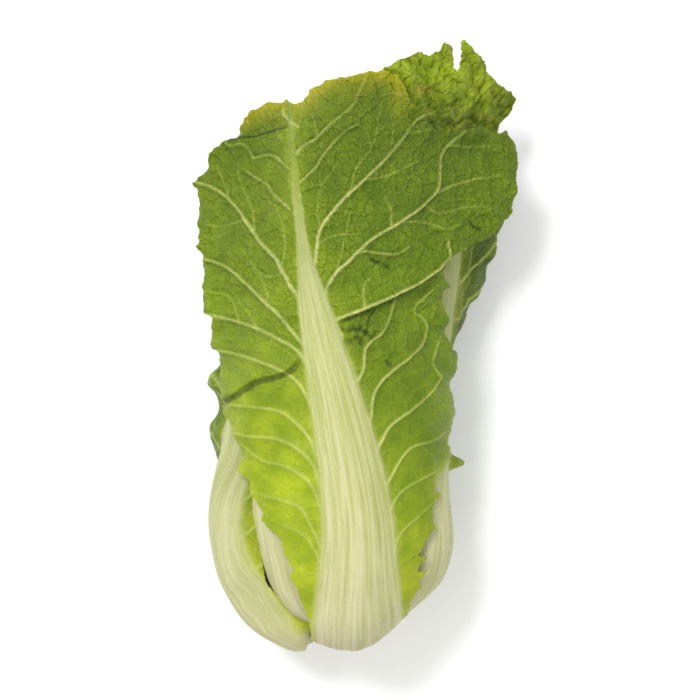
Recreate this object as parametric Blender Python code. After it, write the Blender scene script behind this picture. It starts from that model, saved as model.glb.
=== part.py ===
# Head of napa cabbage lying on its side: a cut stem and heart wrapped in overlapping leaves.
# Up is +Z, the cut base faces -Y and the leaf tips face +Y; the head rests on the back leaf's rib.
import math

import bpy
import numpy as np

# ---- driving dimensions of the head, in millimetres ----
# meridian of the closed head's outside: (distance from the axis, height above the cut base)
HEAD_PROFILE = [(21, 3.5), (30, 1.5), (38, 1.5), (46, 5.7), (56, 15), (62, 29), (65.5, 42), (67, 60),
                (66, 80), (65, 120), (64, 160), (62, 200), (57, 235), (47, 264), (31, 286), (12, 299)]
# the front and right leaves keep standing instead of closing over the top
OPEN_PROFILE = [(21, 3.5), (30, 1.5), (38, 1.5), (46, 5.7), (56, 15), (62, 29), (65.5, 42), (67, 60),
                (66, 80), (65, 120), (64, 160), (63, 200), (60, 240), (53, 276), (43, 306)]
CORE_RADIUS = 1.5            # thin line along the axis that every leaf grows around
CORE_HEIGHTS = [54, 60, 70, 84, 104, 128, 152, 178, 204, 232, 258]
AXIS_BOW = [(-20, 2), (0, 2), (40, -4), (80, -10), (150, -10), (200, -7), (250, 1), (280, 8), (300, 17), (320, 28), (340, 38)]
TOP_SQUASH = 0.90            # height of the upper half against its width
LOW_SQUASH = 0.85            # the underside is pressed a little flatter by the head's own weight
CENTRE_HEIGHT = 49.0         # axis above the surface the head lies on
SAG_START = 12.0             # below this height the leaves are pressed towards the surface
SAG_DEPTH = 30.0
BASE_SLANT = 0.5             # the stem is cut slightly askew
GAP = 0.55                   # clearance between neighbouring leaves
GROUP_GAP = 0.9              # clearance between the inner and the outer leaves
FLAT_DEPTH = 4.2             # how far the back leaf's rib is pressed flat where the head lies on it

# half width of a full-size leaf, and of its white midrib, against distance from the leaf's base
LEAF_HALF_WIDTH = [(0, 26), (30, 41), (60, 50), (100, 61), (150, 72), (200, 80), (250, 78), (300, 68), (330, 50), (343, 34)]
RIB_HALF_WIDTH = [(0, 24), (40, 22), (100, 19), (150, 15), (200, 8), (250, 4), (300, 2), (343, 1)]
RIB_THICKNESS = [(0, 8), (50, 8), (100, 6.5), (150, 5), (200, 4), (250, 3.6), (300, 3.6), (343, 3.2)]
BLADE_SPACE = [(0, 1.6), (60, 2.2), (120, 3.4), (200, 4.0), (280, 4.2), (343, 3.4)]
LEAF_LENGTH = 343.0

# outer leaves, innermost first: name, direction (deg, 0 = up, positive = towards +X), drift of the direction
# along the leaf (deg), share of the head's radius, length share, width share
OUTER_LEAVES = [
    ("outer_leaf_5", 20, 4, 0.62, 1.01, 0.86),
    ("outer_leaf_4", -125, -8, 0.67, 1.00, 0.90),
    ("outer_leaf_3", 98, 6, 0.72, 0.99, 0.92),
    ("outer_leaf_2", -36, -8, 0.77, 1.00, 0.94),
    ("outer_leaf_1", 126, 6, 0.82, 0.97, 0.96),
    ("back_leaf", 180, 0, 0.86, 0.94, 1.00),
    ("left_leaf", -71, -8, 0.89, 0.96, 0.93),
    ("right_leaf", 63, 4, 0.91, 1.08, 1.04),
]
# inner leaves, innermost first
INNER_LEAVES = [
    ("inner_leaf_8", 40, 0, 0.17, 0.97, 0.34),
    ("inner_leaf_7", -97, 0, 0.22, 0.98, 0.40),
    ("inner_leaf_6", 126, 0, 0.27, 0.98, 0.46),
    ("inner_leaf_5", -12, 0, 0.32, 0.99, 0.52),
    ("inner_leaf_4", -150, 0, 0.37, 0.99, 0.58),
    ("inner_leaf_3", 72, 0, 0.42, 0.99, 0.64),
    ("inner_leaf_2", -65, 0, 0.47, 0.99, 0.70),
    ("inner_leaf_1", 157, 0, 0.52, 0.99, 0.78),
]
HEART_SHARE = 0.11           # share of the radius filled by the closed heart
INNER_TARGET = 0.50          # share of the radius where the inner leaves end
HEAD_TARGET = [(0, 0.86), (0.1, 0.92), (0.2, 0.95), (1, 0.95)]

OUTER_ROWS = [0.006, 0.035, 0.08, 0.13, 0.19, 0.26, 0.34, 0.43, 0.52, 0.61, 0.70, 0.79, 0.87, 0.94, 1.0, 1.04, 1.08]
INNER_ROWS = [0.006, 0.08, 0.19, 0.34, 0.52, 0.70, 0.87, 1.0]
OUTER_COLUMNS = 24
INNER_COLUMNS = 12

# outline of the front leaf seen from above, in mm: x across the head, y from the cut base
FRONT_OUTLINE = [
    (-23, -15), (24, -15), (24.5, 8), (25.5, 14), (28.4, 18.5),
    (29.6, 27), (32, 31), (35.4, 35), (33, 37.4), (38, 43.4), (33, 43), (33.3, 46), (38, 50.4), (33.5, 51.5),
    (36.4, 58.8), (42.6, 66.2), (39.6, 69.4), (40.6, 76), (46.8, 82.2), (42.2, 83.2), (42.8, 89.6), (46, 93.8),
    (52, 101), (49, 108.7), (52.9, 124), (51, 139.6), (55.2, 147.9), (55.2, 156.5), (52, 158.6), (46.3, 167),
    (50, 170.6), (45, 186.2), (50, 190.8), (46.3, 195.5), (45.8, 202.8), (51, 206.4), (57, 210), (63, 213.7),
    (71.3, 217), (77.4, 224), (83.2, 228.9), (85.8, 245.6), (86.9, 260), (84.5, 267), (79.6, 273), (73.8, 272),
    (66.6, 275.6), (58.3, 273), (47.4, 273), (40.3, 275.6), (38, 280), (28.6, 284), (25, 292), (22, 299),
    (14, 301), (7, 300.6), (-2.6, 298), (-14.6, 295.7), (-22.9, 290.9), (-24.8, 286.2), (-31.2, 285), (-34.8, 288),
    (-43.2, 287.6), (-54, 284), (-60.6, 276.6), (-61.6, 270.5), (-68.3, 268.3), (-77.3, 261), (-78, 255),
    (-86.8, 246.8), (-83.2, 240.8), (-83.8, 229), (-82.7, 219.4), (-84.4, 212.4), (-80.9, 207.6), (-79.6, 190.8),
    (-79, 177.8), (-75.4, 174.2), (-75.4, 160.2), (-71.2, 156.5), (-71.2, 148.2), (-68.3, 130), (-69.7, 124.3),
    (-64.2, 115.7), (-62.4, 110.8), (-59.3, 104.5), (-61.4, 93.8), (-54.6, 89.4), (-54, 82.2), (-47.5, 73.8),
    (-49, 69.4), (-44.2, 65.1), (-38, 59.8), (-36.4, 51), (-31.7, 45), (-33.8, 40.7), (-30.2, 34.3), (-27.6, 26),
    (-24.1, 17.4), (-23, 5.7)]
# centre line of its midrib seen from above
FRONT_MIDRIB = [(0, 1.5), (6, 1.5), (58, 1.8), (95, -2), (111, -5), (131, -9), (167, -17.6), (191, -22.8), (215, -27),
                (233, -29), (257, -31), (272, -32), (300, -34)]
FRONT_RIB_HALF_WIDTH = [(0, 22), (5, 23.5), (58, 19.5), (95, 17.2), (131, 14.2), (167, 10.1), (191, 6.4), (215, 3),
                        (233, 2.7), (257, 2.1), (272, 1.8), (300, 1)]
FRONT_TANGENT = 38.0         # beyond this direction the front leaf's blade leaves the head and spreads (deg)
# the same for the right leaf's upper half, against the station along it
RIGHT_TANGENT = [(0, 76), (0.5, 74), (0.72, 56), (0.9, 50), (1.1, 48)]
# direction its outer edge reaches, against the station along it
RIGHT_REACH = [(0, 112), (0.15, 118), (0.3, 132), (0.42, 130), (0.55, 116), (0.7, 108), (1.1, 104)]
# inner edge of the left leaf's lower wing seen from above: distance from the cut base, x
LEFT_EDGE = [(-15, -10), (5.7, -23), (20.5, -41), (36.4, -48.6), (57.7, -50.7), (82.2, -53.5), (100, -54), (120, -46),
             (150, -30), (200, -5), (340, 20)]
# outline of the right leaf's upper half seen from above; its tip stands past the front leaf
RIGHT_OUTLINE = [
    (54, 100), (54.5, 148), (55.6, 157.6), (57, 174), (60.6, 187.3), (69, 200.5), (71.8, 213.7), (75, 225), (77.5, 240),
    (77, 255), (74.5, 265), (74.9, 273), (82.2, 281.3), (84.2, 288), (81.1, 293.3), (74.4, 294.3), (67.6, 303),
    (66.6, 310), (59.3, 317.2), (55.1, 320.8), (54.6, 307.8), (52.8, 304), (51, 305), (50.4, 315), (46.8, 317.7),
    (43.7, 312.5), (38, 309.4), (33.3, 312), (23.4, 308), (15, 305), (10, 296), (-10, 285), (-34, 270), (-40, 200),
    (-40, 100)]


def hermite(points, x):
    """Smooth curve through (x, y) points, without overshoot."""
    p = np.asarray(points, float)
    xs, ys = p[:, 0], p[:, 1]
    x = np.asarray(x, float)
    h = np.diff(xs)
    d = np.diff(ys) / h
    m = np.zeros(len(xs))
    m[0], m[-1] = d[0], d[-1]
    for i in range(1, len(xs) - 1):
        if d[i - 1] * d[i] > 0:
            a, b = 2 * h[i] + h[i - 1], h[i] + 2 * h[i - 1]
            m[i] = (a + b) / (a / d[i - 1] + b / d[i])
    i = np.clip(np.searchsorted(xs, x) - 1, 0, len(xs) - 2)
    s = (x - xs[i]) / h[i]
    low, high = x < xs[0], x > xs[-1]
    s = np.clip(s, 0, 1)
    out = ((2 * s ** 3 - 3 * s ** 2 + 1) * ys[i] + (s ** 3 - 2 * s ** 2 + s) * h[i] * m[i]
           + (-2 * s ** 3 + 3 * s ** 2) * ys[i + 1] + (s ** 3 - s ** 2) * h[i] * m[i + 1])
    out = np.where(low, ys[0] + m[0] * (x - xs[0]), out)
    return np.where(high, ys[-1] + m[-1] * (x - xs[-1]), out)


_T = np.linspace(0, 1.12, 449)


def run_along(profile):
    """A profile's radius and height against the share of its length, at the stations of _T."""
    p = np.asarray(profile, float)
    run = np.concatenate([[0], np.cumsum(np.hypot(*np.diff(p, axis=0).T))])
    run /= run[-1]
    return hermite(list(zip(run, p[:, 0])), _T), hermite(list(zip(run, p[:, 1])), _T)


_RC, _YC = run_along(HEAD_PROFILE)
_RO, _YO = run_along(OPEN_PROFILE)
_RC = np.maximum(_RC, 4.0)
_Y0 = hermite(list(zip(np.linspace(0, 1, len(CORE_HEIGHTS)), CORE_HEIGHTS)), _T)


def head_radius(t, is_open=False):
    return np.interp(t, _T, _RO if is_open else _RC)


def thickness_scale(t, is_open=False):
    """Length of the line from the core to the head's outside, at one station along the leaves."""
    y1 = np.interp(t, _T, _YO if is_open else _YC)
    return np.hypot(head_radius(t, is_open) - CORE_RADIUS, y1 - np.interp(t, _T, _Y0))


def soft_plus(x, k):
    return k * np.logaddexp(0, x / k)


def place(t, a, lam, is_open=False):
    """Station t along the leaves, direction a (radians), share lam of the radius -> x, y, z in mm."""
    r = CORE_RADIUS + lam * (head_radius(t, is_open) - CORE_RADIUS)
    y0 = np.interp(t, _T, _Y0)
    y = y0 + lam * (np.interp(t, _T, _YO if is_open else _YC) - y0)
    c = np.cos(a)
    x = r * np.sin(a)
    z = CENTRE_HEIGHT + r * c * (LOW_SQUASH + (TOP_SQUASH - LOW_SQUASH) * 0.5 * (1 + c))
    y = y + BASE_SLANT * soft_plus(x, 6.0) * np.exp(-np.maximum(y, -20) / 50.0)
    x = x + hermite(AXIS_BOW, y)
    z = np.where(z < SAG_START, SAG_START - SAG_DEPTH * (1 - np.exp(-(SAG_START - np.minimum(z, SAG_START)) / SAG_DEPTH)), z)
    return x, y, z


def outline_distance(outline, x, y):
    """Signed distance to a closed outline, positive inside."""
    p = np.asarray(outline, float)
    q = np.roll(p, -1, axis=0)
    shape = np.shape(x)
    x = np.ravel(x)
    y = np.ravel(y)
    best = np.full(len(x), 1e9)
    inside = np.zeros(len(x), bool)
    for (ax, ay), (bx, by) in zip(p, q):
        dx, dy = bx - ax, by - ay
        n = dx * dx + dy * dy
        if n < 1e-12:
            continue
        s = np.clip(((x - ax) * dx + (y - ay) * dy) / n, 0, 1)
        best = np.minimum(best, np.hypot(x - ax - s * dx, y - ay - s * dy))
        if ay != by:
            cross = (ay > y) != (by > y)
            inside ^= cross & (x < (bx - ax) * (y - ay) / (by - ay) + ax)
    return np.where(inside, best, -best).reshape(shape)


def turn(a, centre):
    """Angle from centre to a, in (-pi, pi]."""
    return (a - centre + math.pi) % (2 * math.pi) - math.pi


def head_lift(t, a, tangent_deg, centre_deg, amount):
    """Factor on the radius that lets a blade leave the head along a tangent on both sides of its centre."""
    d = np.abs(turn(a, math.radians(centre_deg))) - math.radians(tangent_deg)
    d = np.clip(d, 0, math.radians(62))
    return 1 + amount * (1 / np.cos(d) - 1)


def ramp(x, lo, hi):
    s = np.clip((x - lo) / (hi - lo), 0, 1)
    return s * s * (3 - 2 * s)


def lifted(lam, t, factor):
    r1 = head_radius(t, True)
    return ((CORE_RADIUS + lam * (r1 - CORE_RADIUS)) * factor - CORE_RADIUS) / (r1 - CORE_RADIUS)


def right_lift(t, a):
    """The right leaf's upper blade stands off the head on the outer side, and its tip opens out."""
    b = turn(a, math.radians(40))
    d = np.clip(b - np.radians(hermite(RIGHT_TANGENT, t) - 40), 0, math.radians(56))
    fade = 1 - ramp(b, math.radians(66), math.radians(90))
    return 1 + (0.22 * ramp(t, 0.8, 1.06) + ramp(t, 0.5, 0.66) * (1 / np.cos(d) - 1)) * fade


def right_edge(t, a):
    """Room left inside the right leaf's spreading edge, in mm."""
    lam = lifted(0.90, t, right_lift(t, a))
    x, y, _ = place(t, a, lam, True)
    m = outline_distance(RIGHT_OUTLINE, x, y) + 400 * (1 - ramp(t, 0.44, 0.60))
    limit = np.radians(hermite(RIGHT_REACH, t) - 40)
    return np.minimum(m, (limit - turn(a, math.radians(40))) * head_radius(t, True))


def left_edge(t, a):
    """Room left inside the left leaf's inner edge, in mm."""
    b = np.minimum(turn(a, math.radians(-90)), 0)
    r = CORE_RADIUS + 0.89 * (head_radius(t) - CORE_RADIUS)
    x, y, _ = place(t, np.where(b < 0, math.radians(-90), a), 0.89)
    return hermite(LEFT_EDGE, y) - x - b * r


def front_lift(t, a):
    return head_lift(t, a, FRONT_TANGENT, 0.0, ramp(t, 0.45, 0.68))


def leaf_margin(leaf, t, a):
    """Distance in mm inside a leaf's edge (negative outside), its midrib offset in mm, and the local radius."""
    name, direction, drift, share, length, width = leaf
    r = CORE_RADIUS + share * (head_radius(t, name == "right_leaf") - CORE_RADIUS)
    centre = math.radians(direction) + math.radians(drift) * np.clip((t - 0.15) / 0.85, 0, 1) ** 1.2
    off = turn(a, centre) * r
    s = np.clip(t / length, 0, 1.2) * LEAF_LENGTH
    w = hermite(LEAF_HALF_WIDTH, np.minimum(s, LEAF_LENGTH)) * width
    w = np.minimum(w, r * math.radians(150))
    w = np.maximum(w, 12.0)
    side = w - np.abs(off)
    tip = (length - t) * LEAF_LENGTH - 0.004 * off ** 2
    m = np.minimum(side, tip)
    # a rounded corner where the side meets the tip
    both = (side < 25) & (tip < 25)
    m = np.where(both, 25 - np.hypot(25 - np.minimum(side, 25), 25 - np.minimum(tip, 25)), m)
    return m, off, s


def leaf_space(leaf, t, a, m, off, s):
    """Room a leaf takes across its thickness, in mm."""
    share, width = leaf[3], leaf[5]
    k = 0.35 + 0.65 * share
    rib_w = hermite(RIB_HALF_WIDTH, s) * max(width, 0.5)
    rib = hermite(RIB_THICKNESS, s) * k
    blade = hermite(BLADE_SPACE, s) * (0.75 + 0.25 * share)
    u = np.clip(1 - (np.abs(off) / (rib_w + 6.0)) ** 2, 0, 1)
    return np.maximum(blade, blade + (rib - blade) * u) + 0 * m


def grow(mask):
    """One ring of neighbours more, round the head and along it."""
    out = mask.copy()
    for dj in (-1, 0, 1):
        r = np.roll(mask, dj, axis=1)
        out |= r
        out[1:] |= r[:-1]
        out[:-1] |= r[1:]
    return out


def spread(f):
    """One round of averaging along and round the head."""
    e = np.concatenate([f[:1], f, f[-1:]])
    g = 0.25 * e[:-2] + 0.5 * e[1:-1] + 0.25 * e[2:]
    return 0.25 * np.roll(g, 1, axis=1) + 0.5 * g + 0.25 * np.roll(g, -1, axis=1)


def stack(leaves, rows, columns, floor_lam, target, gap, stiffness):
    """Lays leaves over one another on a grid of stations and directions.

    Returns the grid and, per leaf, (margin, inner share, outer share).
    """
    t = np.asarray(rows, float)[:, None] * np.ones((1, columns))
    a = np.linspace(0, 2 * math.pi, columns, endpoint=False)[None, :] * np.ones((len(rows), 1))
    d = thickness_scale(t)
    d_open = thickness_scale(t, True)
    shapes = []
    for leaf in leaves:
        m, off, s = leaf_margin(leaf, t, a)
        if leaf[0] == "right_leaf":
            m = np.minimum(m, right_edge(t, a))
        else:
            m = clip_to_head(m, t, a, leaf[3])
        if leaf[0] == "left_leaf":
            m = np.minimum(m, left_edge(t, a))
        m = np.where(np.abs(m) < 1.5, np.where(m >= 0, 1.5, -1.5), m)
        m = largest_patch(m)
        shapes.append((leaf[0], leaf[3], m, leaf_space(leaf, t, a, m, off, s), grow(m > 0)))
    scale = np.ones_like(t)

    def lay(with_lift):
        lam = np.zeros_like(t) + floor_lam
        gaps = np.zeros_like(t)
        out = []
        for name, share, m, space, there in shapes:
            base = np.maximum(lam, 0.92 * share * stiffness)
            for _ in range(2):
                base = np.maximum(base, spread(base))
            dd = d_open if name == "right_leaf" else d
            lin = base + gap / dd
            if with_lift and name == "right_leaf":
                lin = lifted(lin, t, right_lift(t, a))
            lout = lin + space * scale / dd
            out.append((m, lin, lout))
            gaps = gaps + np.where(there, gap / d, 0)
            lam = np.where(there, lout, lam)
        return lam, gaps, out

    for _ in range(10):
        lam, gaps, out = lay(False)
        mean = lam
        for _ in range(2):
            mean = spread(mean)
        want = (target - floor_lam - spread(gaps)) / np.maximum(mean - floor_lam - spread(gaps), 0.02)
        scale = np.clip(spread(scale * np.clip(want, 0.6, 1.6)), 0.45, 1.5)
    lam, gaps, out = lay(True)
    return t, a, out, lam


def plan_of(t, a, share):
    x, y, _ = place(t, a, share)
    return x, y


def clip_to_head(m, t, a, share):
    """Leaf tips end just short of the front leaf's outline, so that it covers them from above."""
    x, y = plan_of(t, a, share)
    inside = np.maximum(outline_distance(FRONT_OUTLINE, x, y), outline_distance(RIGHT_OUTLINE, x, y)) - 4.0
    return np.where(y > 235, np.minimum(m, inside), m)


def largest_patch(m):
    """Keeps one connected patch of a margin field; the rest is pushed outside."""
    on = m > 0
    rows, cols = on.shape
    label = np.zeros(on.shape, int)
    best, count = 0, 0
    for i in range(rows):
        for j in range(cols):
            if on[i, j] and not label[i, j]:
                count += 1
                todo = [(i, j)]
                label[i, j] = count
                n = 0
                while todo:
                    p, q = todo.pop()
                    n += 1
                    for di, dj in ((1, 0), (-1, 0), (0, 1), (0, -1)):
                        u, v = p + di, (q + dj) % cols
                        if 0 <= u < rows and on[u, v] and not label[u, v]:
                            label[u, v] = count
                            todo.append((u, v))
                if n > best:
                    best, keep = n, count
    if best == 0:
        return m
    return np.where(on & (label != keep), -2.0, m)


def sheet(m, outer, inner, closed_round=True):
    """Closed solid between two point grids (rows x columns x 3) where m > 0, as vertices and triangles."""
    rows, cols = m.shape
    verts_out, verts_in, index = [], [], {}

    def node(i, j):
        key = (i, j)
        if key not in index:
            index[key] = len(verts_out)
            verts_out.append(outer[i, j])
            verts_in.append(inner[i, j])
        return index[key]

    def cross(a, b):
        if b < a:
            a, b = b, a
        key = (a, b)
        if key not in index:
            ma, mb = m[a], m[b]
            k = ma / (ma - mb)
            index[key] = len(verts_out)
            verts_out.append(outer[a] + (outer[b] - outer[a]) * k)
            verts_in.append(inner[a] + (inner[b] - inner[a]) * k)
        return index[key]

    tris = []
    last = cols if closed_round else cols - 1
    for i in range(rows - 1):
        for j in range(last):
            j2 = (j + 1) % cols
            quad = [(i, j), (i, j2), (i + 1, j2), (i + 1, j)]
            for tri in ((quad[0], quad[1], quad[2]), (quad[0], quad[2], quad[3])):
                poly = []
                for k in range(3):
                    p, q = tri[k], tri[(k + 1) % 3]
                    if m[p] > 0:
                        poly.append(node(*p))
                    if (m[p] > 0) != (m[q] > 0):
                        poly.append(cross(p, q))
                for k in range(1, len(poly) - 1):
                    tris.append((poly[0], poly[k], poly[k + 1]))
    n = len(verts_out)
    edges = {}
    for a, b, c in tris:
        for e in ((a, b), (b, c), (c, a)):
            edges[e] = True
    faces = [(a, b, c) for a, b, c in tris]
    faces += [(a + n, c + n, b + n) for a, b, c in tris]
    for (a, b) in list(edges):
        if (b, a) not in edges:
            faces.append((b, a, a + n))
            faces.append((b, a + n, b + n))
    return np.array(verts_out + verts_in), faces


def front_stack(t, a, lam, gap):
    """The front leaf over everything else: margin, inner share, outer share."""
    d = thickness_scale(t, True)
    base = np.maximum(lam, 0.90)
    for _ in range(3):
        base = np.maximum(base, spread(base))
    lin = lifted(base + gap / d, t, front_lift(t, a))
    x, y, _ = place(t, a, lin, True)
    rib_w = hermite(FRONT_RIB_HALF_WIDTH, y)
    off = x - hermite(FRONT_MIDRIB, y)
    s = t * LEAF_LENGTH
    u = np.clip(1 - (np.abs(off) / (rib_w + 4.0)) ** 2, 0, 1)
    blade = hermite([(0, 1.6), (60, 1.8), (120, 2.4), (200, 3.0), (343, 3.0)], s)
    space = blade + (hermite(RIB_THICKNESS, s) - blade).clip(0) * u
    lout = lin + space / d
    x, y, _ = place(t, a, lout, True)
    m = outline_distance(FRONT_OUTLINE, x, y)
    m = np.minimum(m, (math.radians(100) - np.abs(turn(a, 0.0))) * head_radius(t, True))
    m = np.where(np.abs(m) < 1.5, np.where(m >= 0, 1.5, -1.5), m)
    return largest_patch(m), lin, lout


def build_stacks():
    """Everything the leaves need: grids and, per leaf, margins and shares."""
    it, ia, inner, ilam = stack(INNER_LEAVES, INNER_ROWS, INNER_COLUMNS, HEART_SHARE, INNER_TARGET, GAP, 0.0)
    round_lam = np.interp(OUTER_ROWS, INNER_ROWS, ilam.max(axis=1))[:, None]
    rows = np.asarray(OUTER_ROWS)[:, None]
    floor_lam = round_lam + GROUP_GAP / thickness_scale(rows)
    target = hermite(HEAD_TARGET, rows)
    ot, oa, outer, olam = stack(OUTER_LEAVES, OUTER_ROWS, OUTER_COLUMNS, floor_lam, target, GAP, 1.0)
    front = front_stack(ot, oa, olam, GAP)
    return (it, ia, inner), (ot, oa, outer, front)
def grid_points(t, a, lam, is_open=False):
    return np.stack(place(t, a, lam, is_open), axis=-1)


def floor_height(t, a, m, lout):
    """Level of the surface the head lies on: the back leaf's rib is pressed flat against it."""
    return place(t, a, lout)[2][m > 0].min() + FLAT_DEPTH


def lathe(profile, columns):
    """Closed solid round the axis from (station, share) pairs; both ends close on the axis."""
    a = np.linspace(0, 2 * math.pi, columns, endpoint=False)
    rings = [np.stack(place(np.full(columns, t), a, np.full(columns, s)), axis=-1) for t, s in profile]
    verts = np.concatenate(rings)
    faces = []
    for k in range(len(rings) - 1):
        for j in range(columns):
            j2 = (j + 1) % columns
            p, q = k * columns + j, k * columns + j2
            r, s = p + columns, q + columns
            faces += [(p, q, s), (p, s, r)]
    lo, hi = len(verts), len(verts) + 1
    verts = np.concatenate([verts, rings[0].mean(axis=0)[None], rings[-1].mean(axis=0)[None]])
    for j in range(columns):
        j2 = (j + 1) % columns
        faces.append((lo, j2, j))
        n = (len(rings) - 1) * columns
        faces.append((hi, n + j, n + j2))
    return verts, faces


def signed_volume(verts, faces):
    f = np.asarray(faces)
    a, b, c = verts[f[:, 0]], verts[f[:, 1]], verts[f[:, 2]]
    return np.einsum("ij,ij->i", a, np.cross(b, c)).sum() / 6


BACK = [leaf[0] for leaf in OUTER_LEAVES].index("back_leaf")


def all_solids():
    """Every piece's vertices (mm) and triangles, centred on the footprint with the flat underside at zero."""
    (it, ia, inner), (ot, oa, outer, front) = build_stacks()
    floor = floor_height(ot, oa, *[outer[BACK][k] for k in (0, 2)])
    solids = {}
    for leaf, (m, lin, lout) in zip(INNER_LEAVES, inner):
        solids[leaf[0]] = sheet(m, grid_points(it, ia, lout), grid_points(it, ia, lin))
    for leaf, (m, lin, lout) in zip(OUTER_LEAVES, outer):
        stands = leaf[0] == "right_leaf"
        top = grid_points(ot, oa, lout, stands)
        if leaf[0] == "back_leaf":
            top[..., 2] = np.maximum(top[..., 2], floor)
        solids[leaf[0]] = sheet(m, top, grid_points(ot, oa, lin, stands))
    m, lin, lout = front
    solids["front_leaf"] = sheet(m, grid_points(ot, oa, lout, True), grid_points(ot, oa, lin, True))
    edge = GAP / float(thickness_scale(0.5))
    rows = [0.03] + [r for r in INNER_ROWS if 0.03 < r <= 0.9]
    solids["heart"] = lathe([(rows[0], 0.0)] + [(r, HEART_SHARE - edge) for r in rows] + [(rows[-1], 0.0)], INNER_COLUMNS)
    solids["stem"] = lathe([(0.0, 0.0), (0.0, 0.35), (0.0, 0.7), (0.0, 0.97), (-0.012, 0.955)], OUTER_COLUMNS)
    for name, (v, f) in solids.items():
        if signed_volume(v, f) < 0:
            solids[name] = (v, [(a, c, b) for a, b, c in f])
    every = np.concatenate([v for v, _ in solids.values()])
    lo, hi = every.min(axis=0), every.max(axis=0)
    shift = np.array([(lo[0] + hi[0]) / 2, (lo[1] + hi[1]) / 2, floor])
    return {name: (v - shift, f) for name, (v, f) in solids.items()}, shift


COLOURS = {
    "front_leaf": (0.42, 0.55, 0.16), "right_leaf": (0.46, 0.60, 0.14), "left_leaf": (0.40, 0.54, 0.16),
    "back_leaf": (0.38, 0.52, 0.16), "heart": (0.82, 0.80, 0.42), "stem": (0.84, 0.83, 0.66)}


def material(name, colour, roughness):
    m = bpy.data.materials.new(name)
    m.use_nodes = True
    b = m.node_tree.nodes["Principled BSDF"]
    b.inputs["Base Color"].default_value = (*colour, 1.0)
    b.inputs["Metallic"].default_value = 0.0
    b.inputs["Roughness"].default_value = roughness
    m.diffuse_color = (*colour, 1.0)
    return m


def main():
    for o in list(bpy.data.objects):
        bpy.data.objects.remove(o, do_unlink=True)
    solids, _ = all_solids()
    for k, (name, (verts, faces)) in enumerate(solids.items()):
        mesh = bpy.data.meshes.new(name)
        mesh.from_pydata([tuple(float(c) * 0.001 for c in v) for v in verts], [], faces)
        mesh.update()
        ob = bpy.data.objects.new(name, mesh)
        bpy.context.scene.collection.objects.link(ob)
        pale = 0.5 if name.startswith("inner") else 0.2
        colour = COLOURS.get(name, (0.45 + 0.3 * pale + 0.01 * k, 0.58 + 0.25 * pale, 0.16 + 0.25 * pale))
        mesh.materials.append(material(name + "_surface", colour, 0.5))


main()
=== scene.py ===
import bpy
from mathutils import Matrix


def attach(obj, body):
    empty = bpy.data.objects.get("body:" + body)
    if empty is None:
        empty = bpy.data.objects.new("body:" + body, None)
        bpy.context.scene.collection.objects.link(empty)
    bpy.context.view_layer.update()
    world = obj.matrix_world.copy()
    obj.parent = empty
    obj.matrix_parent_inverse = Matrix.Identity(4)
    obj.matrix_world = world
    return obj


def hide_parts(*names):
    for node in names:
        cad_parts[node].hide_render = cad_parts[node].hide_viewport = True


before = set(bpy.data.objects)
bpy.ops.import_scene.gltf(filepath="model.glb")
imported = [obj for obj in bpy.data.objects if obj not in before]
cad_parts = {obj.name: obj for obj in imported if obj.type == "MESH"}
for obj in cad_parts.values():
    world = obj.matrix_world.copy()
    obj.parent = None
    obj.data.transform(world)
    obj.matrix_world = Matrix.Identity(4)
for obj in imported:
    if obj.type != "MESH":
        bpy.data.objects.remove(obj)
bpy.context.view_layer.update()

# Head of napa cabbage lying on its side: the leaves follow the same stack as the solid model,
# drawn finer, with veins, folds, ruffled and toothed margins, ribs, and a cut stem.
import math

import bpy
import numpy as np
from mathutils import Vector

# ---- driving dimensions of the head, in millimetres ----
# meridian of the closed head's outside: (distance from the axis, height above the cut base)
HEAD_PROFILE = [(21, 3.5), (30, 1.5), (38, 1.5), (46, 5.7), (56, 15), (62, 29), (65.5, 42), (67, 60),
                (66, 80), (65, 120), (64, 160), (62, 200), (57, 235), (47, 264), (31, 286), (12, 299)]
# the front and right leaves keep standing instead of closing over the top
OPEN_PROFILE = [(21, 3.5), (30, 1.5), (38, 1.5), (46, 5.7), (56, 15), (62, 29), (65.5, 42), (67, 60),
                (66, 80), (65, 120), (64, 160), (63, 200), (60, 240), (53, 276), (43, 306)]
CORE_RADIUS = 1.5            # thin line along the axis that every leaf grows around
CORE_HEIGHTS = [54, 60, 70, 84, 104, 128, 152, 178, 204, 232, 258]
AXIS_BOW = [(-20, 2), (0, 2), (40, -4), (80, -10), (150, -10), (200, -7), (250, 1), (280, 8), (300, 17), (320, 28), (340, 38)]
TOP_SQUASH = 0.90            # height of the upper half against its width
LOW_SQUASH = 0.85            # the underside is pressed a little flatter by the head's own weight
CENTRE_HEIGHT = 49.0         # axis above the surface the head lies on
SAG_START = 12.0             # below this height the leaves are pressed towards the surface
SAG_DEPTH = 30.0
BASE_SLANT = 0.5             # the stem is cut slightly askew
GAP = 0.55                   # clearance between neighbouring leaves
GROUP_GAP = 0.9              # clearance between the inner and the outer leaves
FLAT_DEPTH = 4.2             # how far the back leaf's rib is pressed flat where the head lies on it

# half width of a full-size leaf, and of its white midrib, against distance from the leaf's base
LEAF_HALF_WIDTH = [(0, 26), (30, 41), (60, 50), (100, 61), (150, 72), (200, 80), (250, 78), (300, 68), (330, 50), (343, 34)]
RIB_HALF_WIDTH = [(0, 24), (40, 22), (100, 19), (150, 15), (200, 8), (250, 4), (300, 2), (343, 1)]
RIB_THICKNESS = [(0, 8), (50, 8), (100, 6.5), (150, 5), (200, 4), (250, 3.6), (300, 3.6), (343, 3.2)]
BLADE_SPACE = [(0, 1.6), (60, 2.2), (120, 3.4), (200, 4.0), (280, 4.2), (343, 3.4)]
LEAF_LENGTH = 343.0

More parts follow.
